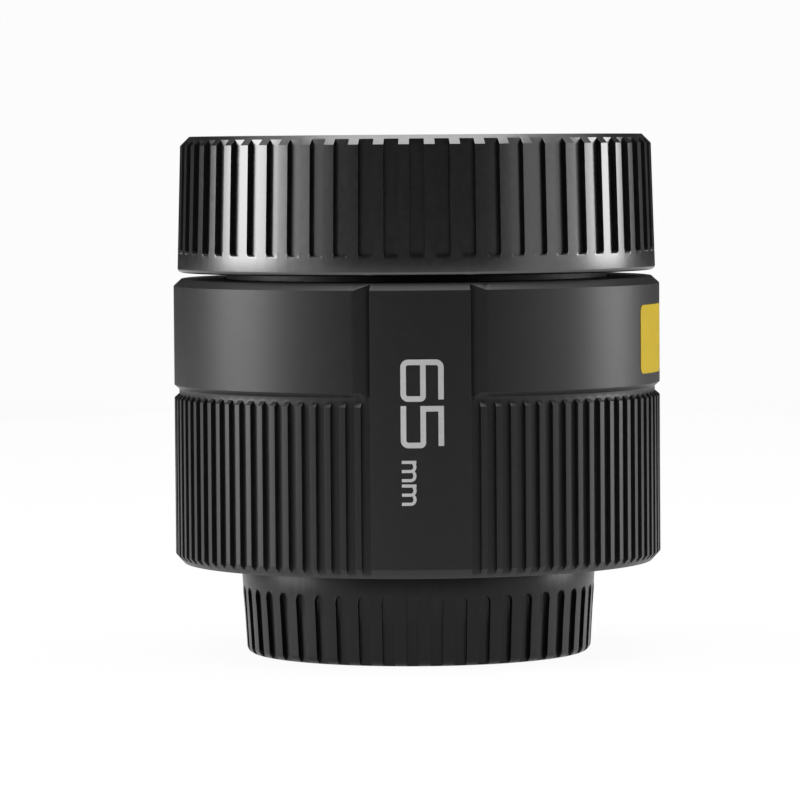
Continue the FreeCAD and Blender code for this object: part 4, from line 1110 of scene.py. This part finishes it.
class LENS_OT_stage(bpy.types.Operator):
    """Floor, backdrop, flags, softboxes and camera"""
    bl_idname = "lens.stage"
    bl_label = "Stage"

    # Each flag's name, place, and width and height.
    FLAGS = (
        ("front_flag", (0, -1.1, 0.6), (2.4, 1.6)),
        ("near_flag", (0, -0.42, 0.24), (0.8, 0.48)),
        ("left_flag", (-0.34, 0.48, 0.3), (0.72, 0.6)),
        ("right_flag", (0.34, 0.48, 0.3), (0.72, 0.6)),
    )
    # Height on the optical axis that the flags face, and the radius of their corners.
    FLAG_AIM = 0.3
    FLAG_CORNER = 0.05
    # Each softbox's name, place, width and height, and the setting of its power.
    SOFTBOXES = (
        ("left_softbox", (-1.0, -0.03, 0.22), (0.6, 0.6), "left_power"),
        ("right_softbox", (0.97, 0.24, 0.22), (0.5, 0.6), "right_power"),
        ("overhead_softbox", (0, -0.1, 1.0), (0.9, 0.9), "top_power"),
    )
    SOFTBOX_AIM = 0.04
    SWEEP_SIDE = 4.0
    SWEEP_HEIGHT = 3.0
    SWEEP_BEND = 1.0
    # Share of the floor's look that is plain white, and the strength of the light all round.
    WHITE_SHARE = 0.95
    ROOM_LIGHT = 0.35

    def execute(self, context):
        size = context.scene.lens_stage
        self.add_floor()
        for name, place, spread in self.FLAGS:
            self.add_flag(name, place, spread)
        for name, place, spread, setting in self.SOFTBOXES:
            self.add_softbox(name, place, spread, getattr(size, setting))
        self.add_camera(size)
        self.light_world()
        context.scene.view_settings.view_transform = "Standard"
        return {"FINISHED"}

    def facing(self, place, height):
        """Rotation with which something at a place faces the optical axis at a height."""
        return (Vector((0, 0, height)) - Vector(place)).to_track_quat("-Z", "Y").to_euler()

    def white_to_camera(self, tree):
        """Socket that is 1 where the camera, a reflection or glass looks at the stage."""
        path = add_node(tree, "ShaderNodeLightPath", (-700, 200))
        first = add_node(tree, "ShaderNodeMath", (-500, 200), [
            (0, path.outputs["Is Camera Ray"]), (1, path.outputs["Is Glossy Ray"]),
        ], operation="MAXIMUM")
        second = add_node(tree, "ShaderNodeMath", (-300, 200), [
            (0, first.outputs["Value"]), (1, path.outputs["Is Transmission Ray"]),
        ], operation="MAXIMUM")
        return second.outputs["Value"]

    def add_floor(self):
        """Pale sweep: flat under the object, curved up into a wall far behind it."""
        begin_clean()
        bpy.ops.mesh.primitive_plane_add(size=self.SWEEP_SIDE, location=(0, 0, 0))
        floor = new_piece("pale_sweep")
        select(floor, "VERT", lambda radius, angle, height: abs(angle) > 90)
        bpy.ops.mesh.extrude_edges_move(
            TRANSFORM_OT_translate={"value": (0, 0, self.SWEEP_HEIGHT)})
        select(floor, "VERT", lambda radius, angle, height: (
            abs(angle) > 90 and height < self.SWEEP_BEND))
        bpy.ops.mesh.bevel(offset=self.SWEEP_BEND, segments=16, affect="EDGES")
        bpy.ops.object.mode_set(mode="OBJECT")
        bpy.ops.object.shade_smooth_by_angle(angle=SHARP)
        # Matt paper: even and pale, without gloss. The camera sees most of it as plain white,
        # and the share that is left to the light keeps the object's shadow.
        material, tree, shader = new_finish("pale_paper", srgb("#F2F2F2"), 0.0, 0.9)
        lit = add_node(tree, "ShaderNodeEmission", (100, 250), Color=WHITE, Strength=1.0)
        share = add_node(tree, "ShaderNodeMath", (0, 400), [(0, self.white_to_camera(tree))],
                         operation="MULTIPLY")
        share.inputs[1].default_value = self.WHITE_SHARE
        mix = add_node(tree, "ShaderNodeMixShader", (300, 150), [
            ("Fac", share.outputs["Value"]), (1, shader.outputs["BSDF"]),
            (2, lit.outputs["Emission"])])
        output = [node for node in tree.nodes if node.type == "OUTPUT_MATERIAL"][0]
        tree.links.new(mix.outputs["Shader"], output.inputs["Surface"])
        floor.data.materials.append(material)

    def add_flag(self, name, place, spread):
        """Dark card outside the picture, which keeps part of the object's surface dark."""
        begin_clean()
        bpy.ops.mesh.primitive_plane_add(size=1.0, location=place,
                                         rotation=self.facing(place, self.FLAG_AIM))
        bpy.context.object.scale = (*spread, 1)
        flag = new_piece(name)
        bpy.ops.mesh.bevel(offset=self.FLAG_CORNER, segments=4, affect="VERTICES")
        bpy.ops.object.mode_set(mode="OBJECT")
        flag.data.materials.append(self.dark_cloth())
        flag.visible_camera = False

    def dark_cloth(self):
        """The flags' matt black cloth, which gives back almost no light, made once."""
        found = bpy.data.materials.get("dark_cloth")
        return found or new_finish("dark_cloth", srgb("#1E1E1E"), 0.0, 0.95)[0]

    def add_softbox(self, name, place, spread, watts):
        """An area lamp at a place, turned to the middle of the object."""
        begin_clean()
        bpy.ops.object.light_add(type="AREA", location=place,
                                 rotation=self.facing(place, self.SOFTBOX_AIM))
        lamp = bpy.context.object
        lamp.name = name
        lamp.data.shape = "RECTANGLE"
        lamp.data.size, lamp.data.size_y = spread
        lamp.data.energy = watts

    def add_camera(self, size):
        """Camera at the photograph's place."""
        begin_clean()
        side = size.side
        towards = Vector((math.sin(side), -math.cos(side), 0))
        right = Vector((math.cos(side), math.sin(side), 0))
        place = towards * size.distance + Vector((0, 0, size.height))
        aim = Vector((0, 0, size.aim_height)) - right * size.aim_left
        turn = (aim - place).to_track_quat("-Z", "Y").to_matrix().to_4x4()
        roll = turn @ turn.Rotation(-size.roll, 4, "Z")
        bpy.ops.object.camera_add(location=place, rotation=roll.to_euler())
        camera = bpy.context.object
        camera.data.lens = size.lens
        camera.data.sensor_width = 36.0
        bpy.context.scene.camera = camera

    def light_world(self):
        """Even grey light all round, seen as white."""
        world = bpy.data.worlds.new("studio")
        bpy.context.scene.world = world
        world.use_nodes = True
        tree = world.node_tree
        tree.nodes.clear()
        lit = add_node(tree, "ShaderNodeBackground", (0, 100), Color=WHITE,
                       Strength=self.ROOM_LIGHT)
        seen = add_node(tree, "ShaderNodeBackground", (0, -100), Color=WHITE, Strength=1.0)
        mix = add_node(tree, "ShaderNodeMixShader", (200, 0), [
            ("Fac", self.white_to_camera(tree)), (1, lit.outputs["Background"]),
            (2, seen.outputs["Background"])])
        add_node(tree, "ShaderNodeOutputWorld", (400, 0), [("Surface", mix.outputs["Shader"])])


class LENS_PT_pieces(bpy.types.Panel):
    """The lens and its pieces"""
    bl_idname = "LENS_PT_pieces"
    bl_label = "Projection Lens"
    bl_space_type = "VIEW_3D"
    bl_region_type = "UI"
    bl_category = "Lens"

    def draw(self, context):
        for operator in OPERATORS:
            self.layout.operator(operator.bl_idname)


GROUPS = {
    "lens_barrel": LensBarrelSizes,
    "lens_ring": LensRingSizes,
    "lens_cap": LensCapSizes,
    "lens_mark": LensMarkSizes,
    "lens_front": LensFrontSizes,
    "lens_colours": LensFinishColours,
    "lens_stage": LensStageSettings,
}
OPERATORS = (
    LENS_OT_finishes,
    LENS_OT_barrel,
    LENS_OT_focus_ring,
    LENS_OT_rear_cap,
    LENS_OT_marking,
    LENS_OT_retainer,
    LENS_OT_screws,
    LENS_OT_stage,
)


def register():
    for group in GROUPS.values():
        bpy.utils.register_class(group)
    for name, group in GROUPS.items():
        setattr(bpy.types.Scene, name, PointerProperty(type=group))
    for operator in OPERATORS:
        bpy.utils.register_class(operator)
    bpy.utils.register_class(LENS_PT_pieces)


def unregister():
    bpy.utils.unregister_class(LENS_PT_pieces)
    for operator in reversed(OPERATORS):
        bpy.utils.unregister_class(operator)
    for name in GROUPS:
        delattr(bpy.types.Scene, name)
    for group in reversed(GROUPS.values()):
        bpy.utils.unregister_class(group)


def main():
    """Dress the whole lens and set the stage."""
    register()
    bpy.ops.lens.finishes()
    bpy.ops.lens.barrel()
    bpy.ops.lens.focus_ring()
    bpy.ops.lens.rear_cap()
    bpy.ops.lens.marking()
    bpy.ops.lens.retainer()
    bpy.ops.lens.screws()
    bpy.ops.lens.stage()


if __name__ == "__main__":
    main()
